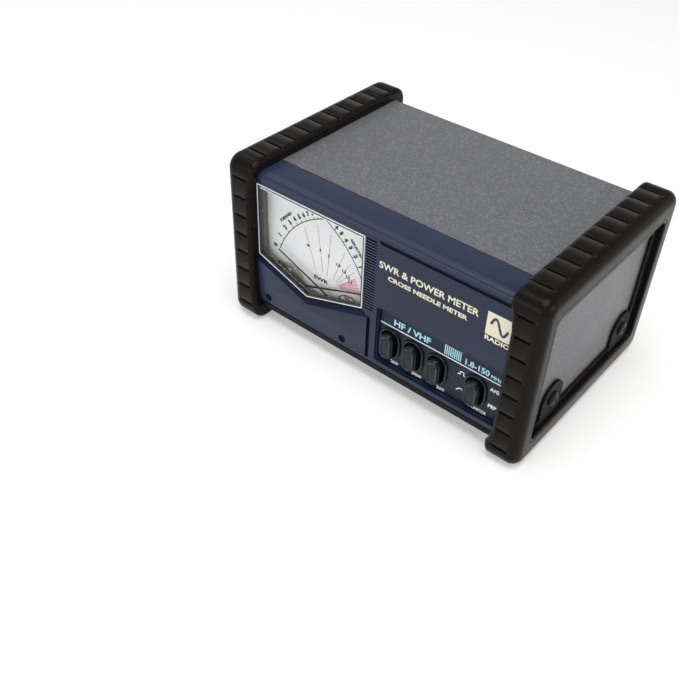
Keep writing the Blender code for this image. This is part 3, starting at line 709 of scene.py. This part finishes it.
def make_frame_screw(word, end, sign, centre):
    """A pan head on its shank, with a cross recess."""
    profile = [(SCREW_TIP, 1.5)] + [(SCREW_SEAT + height, radius) for height, radius in SCREW_HEAD]
    solid = turned("x", centre, [(sign * along, radius) for along, radius in profile], 32)
    node = f"end_frame_screw_{word}_{end}"
    screw = make(f"{word}_{end}_screw", "dark_steel", [solid], stands_for=[node])
    depth = (sign * (SCREW_SEAT + 0.7), sign * (SCREW_SEAT + 2.5))
    y, z = centre
    for across, up in ((0.3, 1.7), (1.7, 0.3)):
        carve(screw, box(depth, (y - across, y + across), (z - up, z + up)))


def make_end_frames():
    for word, sign in (("left", -1), ("right", 1)):
        solid = frame_solid(sign)
        make(f"{word}_moulded_frame", "bumper", [solid], stands_for=[f"{word}_end_frame"])
        # The tabs take the near-black painted shade: they lie in shade inside the side window
        make(f"{word}_frame_tabs", "shade_black", [tab(sign, centre) for centre in TABS])
        for end, centre in zip(("front", "rear"), TABS):
            make_frame_screw(word, end, sign, centre)


# --- Bezel and controls ---


def bezel_profile():
    """The bezel's section, as (y, z): its front with a rounded foot and shoulder, and its top."""
    back = BEZEL_FRONT + BEZEL_WALL
    foot, edge = 0.9, 0.25
    shoulder, drop = 5.2, 2.4
    profile = [(back, BEZEL_BOTTOM)]
    profile += arc((BEZEL_FRONT + foot, BEZEL_BOTTOM + foot), foot, 270, 180, 6)
    profile += [(BEZEL_FRONT, 20.0), (BEZEL_FRONT, 50.0)]
    for i in range(15):
        turn = radians(6 * i)
        y = BEZEL_FRONT + shoulder * (1 - cos(turn))
        z = BEZEL_TOP - drop * (1 - sin(turn))
        profile.append((y, z))
    profile += [(BEZEL_REAR - edge, BEZEL_TOP), (BEZEL_REAR, BEZEL_TOP - edge)]
    profile += [(BEZEL_REAR, BEZEL_TOP - BEZEL_WALL), (back, BEZEL_TOP - BEZEL_WALL)]
    return profile


def cheek(side):
    """The short wall at one end of the bezel, behind its front."""
    x = (side * 77.4, side * (BEZEL_X - 0.05))
    return box(x, (BEZEL_FRONT + 1.2, BEZEL_FRONT + 4.4), (BEZEL_BOTTOM + 0.1, BEZEL_TOP - 1.7))


def front_cut(outline, depth):
    """A cutter that goes into the bezel's front face."""
    return prism("y", outline, BEZEL_FRONT - CLEAR, BEZEL_FRONT + depth)


def chin_band(slope, thickness=None):
    """A band along the V under the lens, through (distance out, depth) points: a cutter, or a thin strip."""
    lines = [(grown(WINDOW, out)[1:4], BEZEL_FRONT + depth) for out, depth in slope]
    rows = []
    for i in range(3):
        row = [place("y", *line[i], y) for line, y in lines]
        if thickness is None:
            row += [place("y", *line[i], BEZEL_FRONT - 1.0) for line, _ in (lines[-1], lines[0])]
        else:
            row += [place("y", *line[i], y + thickness) for line, y in lines[::-1]]
        rows.append(row)
    return loft(rows)


def make_rib_strip(bezel):
    """Grooves cut across the strip, with painted shade on their floor (a near-black sheet) and a painted
    highlight along each rib's crest.
    """
    across, (bottom, top) = RIB_STRIP
    pitch = (top - bottom) / RIB_COUNT
    # A groove's section, as (depth, share of the pitch)
    groove = ((-0.8, -0.07), (-0.01, 0.0), (RIB_DEPTH, 0.16), (RIB_DEPTH, 0.5), (-0.01, 0.66), (-0.8, 0.7))
    starts = [bottom + i * pitch for i in range(RIB_COUNT)]
    grooves = [[(BEZEL_FRONT + depth, start + share * pitch) for depth, share in groove] for start in starts]
    carve(bezel, *[prism("x", outline, *across) for outline in grooves])
    # Painted shade: a near-black sheet at the grooves' floor
    floor = (BEZEL_FRONT + 0.78, BEZEL_FRONT + 1.2)
    make("rib_strip_floor", "shade_black", [box(across, floor, (bottom, top))])
    # Painted highlight: a lighter strip along each rib's crest
    crest = (BEZEL_FRONT - 0.03, BEZEL_FRONT + 0.2)
    crests = [box(across, crest, (start + 0.72 * pitch, start + 0.96 * pitch)) for start in starts[:-1]]
    make("painted_rib_highlights", "crest", crests)


def make_bezel():
    body = [prism("x", bezel_profile(), -BEZEL_X, BEZEL_X), cheek(-1), cheek(1)]
    bezel = make("front_moulding", "bezel", body, stands_for=["front_bezel"])
    carve(bezel, front_cut(grown(WINDOW, 0.3), THROUGH))
    carve(bezel, chin_band(((0.2, 1.0), (4.6, -0.02))))
    carve(bezel, front_cut(rounded(*RECESS, 1.2, 5), THROUGH))
    step = [(low - RECESS_STEP, high + RECESS_STEP) for low, high in RECESS]
    carve(bezel, front_cut(rounded(*step, 1.7, 5), 0.9))
    make_rib_strip(bezel)
    (left, right), (low, high) = HEADER_GROOVE
    end = arc((left + 1, (low + high) / 2), 1.0, 90, 270, 10)
    carve(bezel, front_cut(end + [(right, low), (right, high)], 1.0))
    carve(bezel, front_cut(rectangle(*APRON_SLOT), 1.6))
    for word in NEEDLES:
        x, _, z = middle(f"{word}_zero_screw")
        carve(bezel, rod("y", (x, z), 2.0, BEZEL_FRONT - CLEAR, BEZEL_FRONT + THROUGH))
    # Painted shade along the V under the lens: a near-black strip next to the lens, then a deep blue band
    # out onto the apron
    make("lens_chin_shadow", "shade_black", [chin_band(((0.25, 0.9), (2.0, 0.5)), 0.3)])
    make("lens_chin_shade_band", "shade_blue", [chin_band(((2.0, 0.5), (4.4, -0.02)), 0.3)])
    # Painted shade: a near-black sheet lies at the slot's floor
    (left, right), up = APRON_SLOT
    slot_floor = box((left - 0.1, right + 0.1), (BEZEL_FRONT + 1.4, BEZEL_FRONT + 1.7), up)
    make("apron_slot_floor", "shade_black", [slot_floor])


def make_control_plate():
    (left, _, low), (right, _, high) = corners("control_plate")
    sheet = box((left, right), (PLATE_FRONT, PLATE_BACK), (low, high))
    plate = make("control_plate_moulding", "plate", [sheet], stands_for=["control_plate"])
    depth = PLATE_BACK - COLLAR_FRONT
    # A collar's two walls, as (y, how far its oval grows): up the outside, and back down the inside
    outside = shifted(((depth, 0.0), (0.55, 0.0), (0.25, -0.08), (0.06, -0.25), (0.0, -0.5)), COLLAR_FRONT)
    inside = shifted(((0.0, 0.3), (0.12, 0.08), (0.4, 0.0), (depth, 0.0)), COLLAR_FRONT)
    collars = []
    for node in BUTTONS.values():
        centre = (middle(node)[0], BUTTON_Z)
        carve(plate, prism("y", stadium(centre, OPENING_SIZE, 0.2), PLATE_FRONT - 2, PLATE_BACK + 2))
        rings = [[place("y", u, v, y) for u, v in stadium(centre, size, grow)]
                 for size, wall in ((COLLAR_SIZE, outside), (OPENING_SIZE, inside)) for y, grow in wall]
        collars.append(loft(rings, loop=True))
    make("button_collars", "collar", collars)


def make_button(word, node):
    """A cap with a hollow for the fingertip, an oval ring in it and a small slot at its foot."""
    (_, front, _), (_, back, _) = corners(node)
    x = middle(node)[0]
    body = f"{word}_press"

    def oval(grow):
        return stadium((x, BUTTON_Z), BUTTON_SIZE, grow, 18)

    edge = 0.7
    sleeve = [(back - 0.1, CAP_FLANGE), (back - 0.8, CAP_FLANGE), (back - 0.8, 0.0), (front + 1.3, 0.0)]
    for turn in (30, 60, 90):
        angle = radians(turn)
        sleeve.append((front + 1.3 - edge * sin(angle), -edge * (1 - cos(angle))))
    make(f"{node}_sleeve", "gloss", [layered(oval, sleeve)], body, [node])
    face = shifted(((1.2, -0.45), (0.4, -0.45), (0.1, -0.6), (0.0, -0.9)), front)
    cap = make(f"{node}_face", "button", [layered(oval, face)], body)
    dish = shifted(((-0.5, 0.1), (0.0, 0.0), (0.35, -0.5), (0.6, -1.1), (0.75, -1.8)), front)
    carve(cap, layered(lambda grow: stadium((x, BUTTON_Z), (5.0, 11.2), grow, 18), dish))
    slot = BUTTON_Z - 3.6
    carve(cap, box((x - 1.0, x + 0.8), (front - 1, front + 1.0), (slot - 0.25, slot + 0.25)))
    dimple = stadium((x - 0.1, BUTTON_Z - 1.4), (2.8, 5.0), 0.0, 12)
    carve(cap, prism("y", dimple, front - 1, front + 0.95))
    soften(cap, 0.15, 2, 40)


# --- Meter ---


def make_lens():
    """A clear pane in an edge painted near-white with a faint glow as a glint, the dark joint inside it and
    the flange behind the bezel.
    """
    face = ring(WINDOW, grown(WINDOW, -0.3), LENS_FRONT, LENS_FRONT + 1.2)
    top = WINDOW[0][1]
    across = (LENS_LEFT + 3.4, LENS_RIGHT - 3.4)
    # A thin bright line inside the top edge, painted as a highlight
    bead = box(across, (LENS_FRONT + 0.1, LENS_FRONT + 0.7), (top - 1.5, top - 1.15))
    make("lens_edge", "glint", [face, bead], stands_for=["meter_window"])
    joint = ring(grown(WINDOW, -0.35), grown(WINDOW, -1.1), LENS_FRONT + 0.25, LENS_FRONT + 1.0)
    make("lens_joint", "black", [joint])
    pane = prism("y", grown(WINDOW, -1.15), LENS_FRONT + 0.35, LENS_FRONT + 1.0)
    make("lens_pane", "pane", [pane])
    # The flange's sides carry painted glints of refracted light
    behind_wall = BEZEL_FRONT + BEZEL_WALL + 0.3
    flange = ring(grown(WINDOW, LENS_LIP), grown(WINDOW, -0.2), behind_wall, LENS_BACK)
    make("lens_flange", "lens_side_painted_glints", [flange])


def make_shroud():
    """The grey wall round the dial, open below where the movements stand."""
    (left, high), _, _, _, (right, _) = WINDOW
    wall, foot = 0.9, 36.0
    front, back = BEZEL_FRONT + 1.8, DIAL_FRONT - 0.4
    inner = [(left, foot), (left, high), (right, high), (right, foot)]
    left, right, high = left - wall, right + wall, high + wall
    outer = [(left, foot), (left, high), (right, high), (right, foot)]
    rows = []
    for near, far in zip(inner, outer):
        section = ((near, front), (far, front), (far, back), (near, back))
        rows.append([place("y", *at, y) for at, y in section])
    make("dial_shroud", "wall", [loft(rows)])


def power_share(power):
    """The share of the sweep at this reading: a square-root law less the diode's threshold."""
    return 0.232 * sqrt(power) - 0.158


def at_angle(pivot, radius, degrees):
    turn = radians(degrees)
    return (pivot[0] + radius * cos(turn), pivot[1] + radius * sin(turn))


def make_dial():
    (left, front, _), (right, back, top) = corners("dial_plate")
    outline = [(left, top), (left, 29.0), (-46.0, 24.0), (-28.0, 24.0), (right, 29.0), (right, top)]
    sheet = prism("y", outline, front, back)
    card = make("dial_card", "card", [sheet], stands_for=["dial_plate"])
    for pivot, radius in ((FORWARD_PIVOT, 8.3), (REFLECTED_PIVOT, 10.6)):
        carve(card, rod("y", pivot, radius, front - 1, back + 1, 48))
    make_dial_print(front - 0.07)


def scale(pivot, radius, ends, marks, gap, front):
    """An arc with ticks and numerals: marks are (label, tick's angle, numeral's angle, its height)."""
    found = [strip(arc(pivot, radius, *ends, 50), 0.42, front)]
    for label, angle, label_angle, height in marks:
        tick = [at_angle(pivot, radius + reach, angle) for reach in (0.0, 1.1)]
        found.append(strip(tick, 0.34, front))
        at = at_angle(pivot, radius + gap, label_angle)
        found.append(lettering(label, at, height, front, 0.07, turn=angle - 90))
    return found


def make_dial_print(front):
    forward = []
    for power in (*range(11), 15, 20):
        angle = FORWARD_REST - SWEEP * max(power_share(power), 0.0)
        label_angle = angle + (2.9 if power == 0 else 0.0)
        forward.append((str(power), angle, label_angle, 2.5 if power < 8 else 1.8))
    reflected = []
    for number in range(1, 7):
        angle = REFLECTED_REST + SWEEP * power_share(1.1 + 0.9 * number)
        reflected.append((str(number), angle, angle, 2.4))
    ends = (FORWARD_REST + 2.6, FORWARD_REST - SWEEP)
    black = scale(FORWARD_PIVOT, FORWARD_ARC, ends, forward, 1.8, front)
    black += scale(REFLECTED_PIVOT, REFLECTED_ARC, REFLECTED_SCALE, reflected, 1.4, front)
    forward_word = at_angle(FORWARD_PIVOT, FORWARD_ARC + 5.4, 139.0)
    black.append(lettering("FORWARD", forward_word, 1.6, front, 0.05, turn=47))
    reflected_word = at_angle(REFLECTED_PIVOT, REFLECTED_ARC + 4.8, 42.0)
    black.append(lettering("REFLECTED", reflected_word, 1.5, front, 0.05, turn=-48))
    black.append(lettering("SWR", (-38.9, 35.0), 2.1, front, 0.04, 8.8))
    red = []
    for label, top, bottom, (u, v) in SWR_MARKS:
        red.append(strip([bottom, top], 0.17, front))
        # The 8 lies on its side and reads as infinity
        foot, turn = ((u + 0.8, v), 90) if label == "8" else ((u, v - 0.8), 0)
        black.append(lettering(label, foot, 1.7, front - 0.05, 0.05, turn=turn))
    start, reach = (-25.2, 36.7), 14.0
    for degrees in (8, 16, 23, 30, 38):
        red.append(strip([at_angle(start, 2.5, degrees), at_angle(start, reach, degrees)], 0.2, front))
    fan = prism("y", [start] + arc(start, reach, 5, 44, 8), front + 0.03, front + 0.06)
    make("dial_print_black", "ink", black)
    make("dial_print_red", "red_ink", red)
    make("dial_print_pink", "pink_ink", [fan])


def make_needle(word, pivot, rest, length):
    """A flat pointer with a short tail, on its hub."""
    front = corners(f"{word}_needle")[0][1] + 0.05
    # One edge, as (distance from the pivot, half width); the other is its mirror
    edge = [(-6.0, 0.85), (-2.0, 0.75), (0.0, 0.5), (length, 0.25)]
    outline = [(along, -half) for along, half in edge] + edge[::-1]
    pointer = prism("y", turned_outline(outline, pivot, rest), front, front + 0.4)
    hub = turned("y", pivot, shifted(((-0.05, 1.2), (0.02, 1.6), (0.45, 1.6)), front), 28)
    body = f"{word}_pointer"
    make(body, "needle", [pointer, hub], body, [f"{word}_needle"])


def make_movement_face(word, pivot, bridge_angle, outer, screw_places, plate_at=None):
    """The round front of a movement: a plate with two windows, its jewel and its screws."""
    inner, barrel = 7.2, 9.5
    back = corners(f"{word}_yoke")[1][1]
    front = corners(f"{word}_yoke")[0][1] - 0.1
    behind = corners("dial_plate")[1][1] + 0.3
    neck = min(outer, barrel)
    profile = [(back - 1.3, inner)]
    profile += shifted(((0.5, inner), (0.5, 1.0), (0.0, 1.0), (0.0, outer - 0.2), (0.2, outer)), front)
    profile += [(front + 0.6, outer), (front + 0.6, neck), (behind, neck), (behind, barrel), (back, barrel)]
    solid = turned("y", pivot, profile, 56, loop=True)
    yoke = make(f"{word}_movement_frame", "bronze_with_painted_light", [solid], stands_for=[f"{word}_yoke"])
    for side in (90, 270):
        toward = bridge_angle + side
        window = arc(pivot, 6.0, toward - 50, toward + 50, 20)
        window += arc(pivot, 3.4, toward + 36, toward - 36, 14)
        carve(yoke, prism("y", window, front - 1.1, front + 1.0))
    if plate_at:
        rim = shifted(((-0.1, 4.0), (-0.1, 10.0), (0.1, 10.3), (0.55, 10.3), (0.55, 4.0)), front)
        make(f"{word}_movement_plate", "bronze_with_painted_light", [turned("y", plate_at, rim, 64, loop=True)])
    # The screw heads are painted glints: near-white with a faint glow
    head = shifted(((0.1, 1.1), (-0.05, 1.1), (-0.18, 0.8)), front)
    screws = [turned("y", at_angle(pivot, radius, angle), head, 20) for radius, angle in screw_places]
    make(f"{word}_movement_screws", "glint", screws)
    jewel = shifted(((0.2, 2.0), (-0.05, 2.0), (-0.15, 1.6), (-0.15, 1.0), (0.2, 1.0)), front)
    make(f"{word}_jewel", "gold", [turned("y", pivot, jewel, 32, loop=True)])


# --- Print on the front ---


def make_front_print():
    """All words on the front, as (words, start, height, width, how bold), with the lines and signs."""
    face = BEZEL_FRONT - 0.05
    plate = PLATE_FRONT - 0.05

    def printed(front, *lines):
        return [lettering(words, at, height, front, bold, width) for words, at, height, width, bold in lines]

    cream = printed(
        face,
        ("SWR & POWER METER", (3.1, 65.0), 3.4, 49.2, 0.022),
        ("CROSS NEEDLE METER", (7.9, 60.5), 2.3, 39.7, 0.035),
        ("RADIO", (56.2, 56.5), 2.3, 11.4, 0.035),
    )
    cream.append(box((56.0, 67.8), (face, BEZEL_FRONT + 0.02), (59.3, 70.3)))
    make("panel_print_cream", "cream_ink", cream)
    wave = [(58.0 + 7.8 * i / 24, 64.8 + 3.3 * sin(2 * pi * i / 24)) for i in range(25)]
    make("panel_wave_symbol", "navy_ink", [strip(wave, 1.1, face - 0.05)])
    cyan = printed(
        plate,
        ("HF / VHF", (11.4, 36.8), 3.4, 19.4, 0.03),
        ("1.8-150", (48.4, 36.6), 3.1, 11.8, 0.025),
        ("MHz", (61.0, 36.6), 1.9, 5.0, 0.025),
    )
    for x in (37.9 + 0.97 * i for i in range(9)):
        cyan.append(box((x, x + 0.55), (plate, PLATE_FRONT + 0.02), (36.4, 41.5)))
    make("panel_print_cyan", "cyan_ink", cyan)
    white = [box((4.3, 67.0), (plate, PLATE_FRONT + 0.02), (35.1, 35.6))]
    white += printed(
        plate,
        ("AVG", (61.6, 29.9), 1.9, 4.3, 0.03),
        ("PEP", (61.9, 20.9), 1.9, 4.1, 0.03),
        ("20W", (11.2, 15.4), 1.7, 4.2, 0.015),
        ("200W", (22.6, 15.4), 1.7, 5.6, 0.015),
        ("2kW", (36.2, 15.4), 1.7, 4.2, 0.015),
        ("MONITOR", (53.0, 15.4), 1.7, 8.8, 0.015),
    )
    square = [(45.6, 29.9), (46.8, 29.9), (46.8, 31.6), (48.6, 31.6), (48.6, 29.9), (50.1, 29.9)]
    for start, end in zip(square, square[1:]):
        white.append(strip([start, end], 0.42, plate))
    hump = [(45.8 + 4.4 * i / 12, 20.9 + 1.5 * sin(pi * i / 12) ** 1.5) for i in range(13)]
    white.append(strip(hump, 0.42, plate))
    make("panel_print_white", "white_ink", white)


# --- Rear and inside ---


REAR_SEAT = corners("rear_panel")[1][1] + 0.3  # where flanges lie against the rear panel's outside


def make_socket(word):
    """A threaded coaxial socket with a flange and four notches in its end."""
    node = f"{word}_socket_body"
    (_, inner_end, _), (_, end, _) = corners(node)
    x, _, z = middle(node)
    bore, pitch = 6.2, 1.0
    profile = [(inner_end, bore), (inner_end, 7.8)]
    profile += shifted(((0, 7.9), (0, 10.6), (0.2, 10.8), (2.3, 10.8), (2.5, 10.6), (2.5, 7.5)), REAR_SEAT)
    thread_start = REAR_SEAT + 3.5
    for i in range(int((end - 0.8 - thread_start) / pitch)):
        along = thread_start + i * pitch
        profile += [(along, 7.45), (along + 0.4 * pitch, 7.9), (along + 0.6 * pitch, 7.9)]
    profile += [(end - 0.5, 7.4), (end, 7.1), (end, bore)]
    solid = turned("y", (x, z), profile, 72, loop=True)
    socket = make(f"{word}_threaded_socket", "nickel", [solid], stands_for=[node])
    for angle in (45, 135, 225, 315):
        notch = at_angle((x, z), 7.9, angle)
        carve(socket, rod("y", notch, 0.7, end - 1.2, end + 1, 12))


def make_spring(word):
    """A button's return spring: a coil of round wire that stands against the switch's rear wall."""
    low, high = corners(f"{word}_spring")
    x, _, z = middle(f"{word}_spring")
    wire = 0.25
    coil = (high[0] - low[0]) / 2 - wire
    start, end = low[1] + wire, high[1] - wire
    turns, steps, sides = 6, 24, 8
    rings = []
    for i in range(turns * steps + 1):
        angle = 2 * pi * i / steps
        along = start + (end - start) * i / (turns * steps)
        section = []
        for out, ahead in arc((0.0, 0.0), wire, 0, 360 - 360 / sides, sides - 1):
            radius = coil + out
            section.append((x + radius * cos(angle), along + ahead, z + radius * sin(angle)))
        rings.append(section)
    node = f"{word}_spring"
    spring = make(f"{word}_return_spring", "steel", [loft(rings)], stands_for=[node])
    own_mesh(spring)


def make_jack():
    """A round DC inlet: a flanged barrel with a centre pin."""
    (_, inner_end, _), (_, end, _) = corners("dc_jack")
    x, _, z = middle("dc_jack")
    profile = [(inner_end, 3.9)]
    profile += shifted(((0.0, 3.9), (0.0, 5.4), (0.2, 5.6)), REAR_SEAT)
    profile += shifted(((-0.3, 5.6), (0.0, 5.3), (0.0, 3.1), (-0.3, 2.8)), end)
    profile += shifted(((4.0, 2.8), (4.0, 1.0)), inner_end)
    profile += shifted(((-1.3, 1.0), (-1.0, 0.7)), end)
    make("dc_inlet", "black", [turned("y", (x, z), profile, 48)], stands_for=["dc_jack"])


def dress_cad_nodes():
    dress("cover", "top_cover")
    dress("chassis", "bottom_chassis", "rear_panel")
    dress("black", "meter_case")
    dress("steel", "range_switch_frame", "monitor_switch_frame", "latch_bar", "coupler_case")
    dress("board", "switch_board", "lamp_board")
    dress("lamp", "meter_lamp")
    dress("gold", "line_rod")
    dress("ferrite", "toroid_core")
    dress("nickel", "dc_jack_nut")
    dress("cream", *[f"{word}_plunger" for word in BUTTONS])
    for word in NEEDLES:
        dress("cream", f"calibration_trimmer_{word}")
        dress("ferrite", f"{word}_magnet")
        dress("copper", f"{word}_coil")
        dress("gold", f"{word}_hairspring")
        # Painted shade: the zero screws sit in their holes in the near-black shade material
        dress("shade_black", f"{word}_zero_screw")
    for word in ("input", "output"):
        dress("cream", f"{word}_socket_insulator")
        dress("gold", f"{word}_socket_contact")
        dress("nickel", f"{word}_socket_nut")


# --- Studio ---


def make_camera():
    data = bpy.data.cameras.new("camera")
    data.lens = 46.681
    camera = new_object("camera", data)
    camera.location = (0.178943, -0.296352, 0.279072)
    camera.rotation_euler = Euler([radians(a) for a in (49.4333, -1.4053, 40.4099)])
    bpy.context.scene.camera = camera


def make_floor():
    mesh = bpy.data.meshes.new("floor")
    reach, z = 2.5, -0.0002
    points = [(-reach, -reach, z), (reach, -reach, z), (reach, reach, z), (-reach, reach, z)]
    mesh.from_pydata(points, [], [(0, 1, 2, 3)])
    floor = new_object("floor", mesh)
    floor.data.materials.append(MATERIALS["floor"])


def add_light(name, position, size, power, colour):
    """A soft box that looks at the meter."""
    data = bpy.data.lights.new(name, "AREA")
    data.shape = "RECTANGLE"
    data.size, data.size_y = size
    data.energy = power
    data.color = colour
    light = new_object(name, data)
    light.location = position
    target = Vector((0.0, 0.0, 0.04))
    light.rotation_euler = (Vector(position) - target).to_track_quat("Z", "Y").to_euler()


def make_world():
    """A plain pale room: light along the walls and dim overhead."""
    world = bpy.data.worlds.new("studio")
    world.use_nodes = True
    nodes, links = world.node_tree.nodes, world.node_tree.links
    direction = nodes.new("ShaderNodeTexCoord")
    parts = nodes.new("ShaderNodeSeparateXYZ")
    links.new(direction.outputs["Generated"], parts.inputs["Vector"])
    strength = nodes.new("ShaderNodeMapRange")
    strength.interpolation_type = "SMOOTHSTEP"
    for name, value in (("From Min", 0.15), ("From Max", 0.66), ("To Min", 0.85), ("To Max", 0.16)):
        strength.inputs[name].default_value = value
    links.new(parts.outputs["Z"], strength.inputs["Value"])
    background = nodes["Background"]
    background.inputs["Color"].default_value = (1.0, 1.0, 1.0, 1.0)
    links.new(strength.outputs["Result"], background.inputs["Strength"])
    bpy.context.scene.world = world


def make_studio():
    make_camera()
    make_floor()
    make_world()
    white, warm = (1.0, 1.0, 1.0), (1.0, 0.88, 0.78)
    add_light("overhead", (0.15, -0.20, 1.20), (0.8, 0.8), 13.0, white)
    add_light("front", (-0.25, -0.95, 0.42), (0.8, 0.3), 2.4, white)
    add_light("left", (-0.75, 0.10, 0.95), (0.9, 0.9), 2.6, white)
    add_light("right", (1.15, 0.10, 0.50), (0.5, 0.5), 3.2, warm)
    bpy.context.scene.view_settings.view_transform = "Standard"


make_studio()
make_end_frames()
make_bezel()
make_control_plate()
for button_word, button_node in BUTTONS.items():
    make_button(button_word, button_node)
make_lens()
make_shroud()
make_dial()
make_needle("forward", FORWARD_PIVOT, FORWARD_REST, 44.8)
make_needle("reflected", REFLECTED_PIVOT, REFLECTED_REST, 50.8)
make_movement_face("forward", FORWARD_PIVOT, 28.0, 8.0, ((6.9, 115), (6.9, 295)))
make_movement_face(
    "reflected", REFLECTED_PIVOT, 150.0, 9.5, ((10.3, 65), (7.2, 73), (8.0, 245), (10.0, 335)),
    plate_at=(-53.4, 25.9),
)
make_front_print()
for socket_word in ("input", "output"):
    make_socket(socket_word)
make_jack()
for button_word in BUTTONS:
    make_spring(button_word)
dress_cad_nodes()
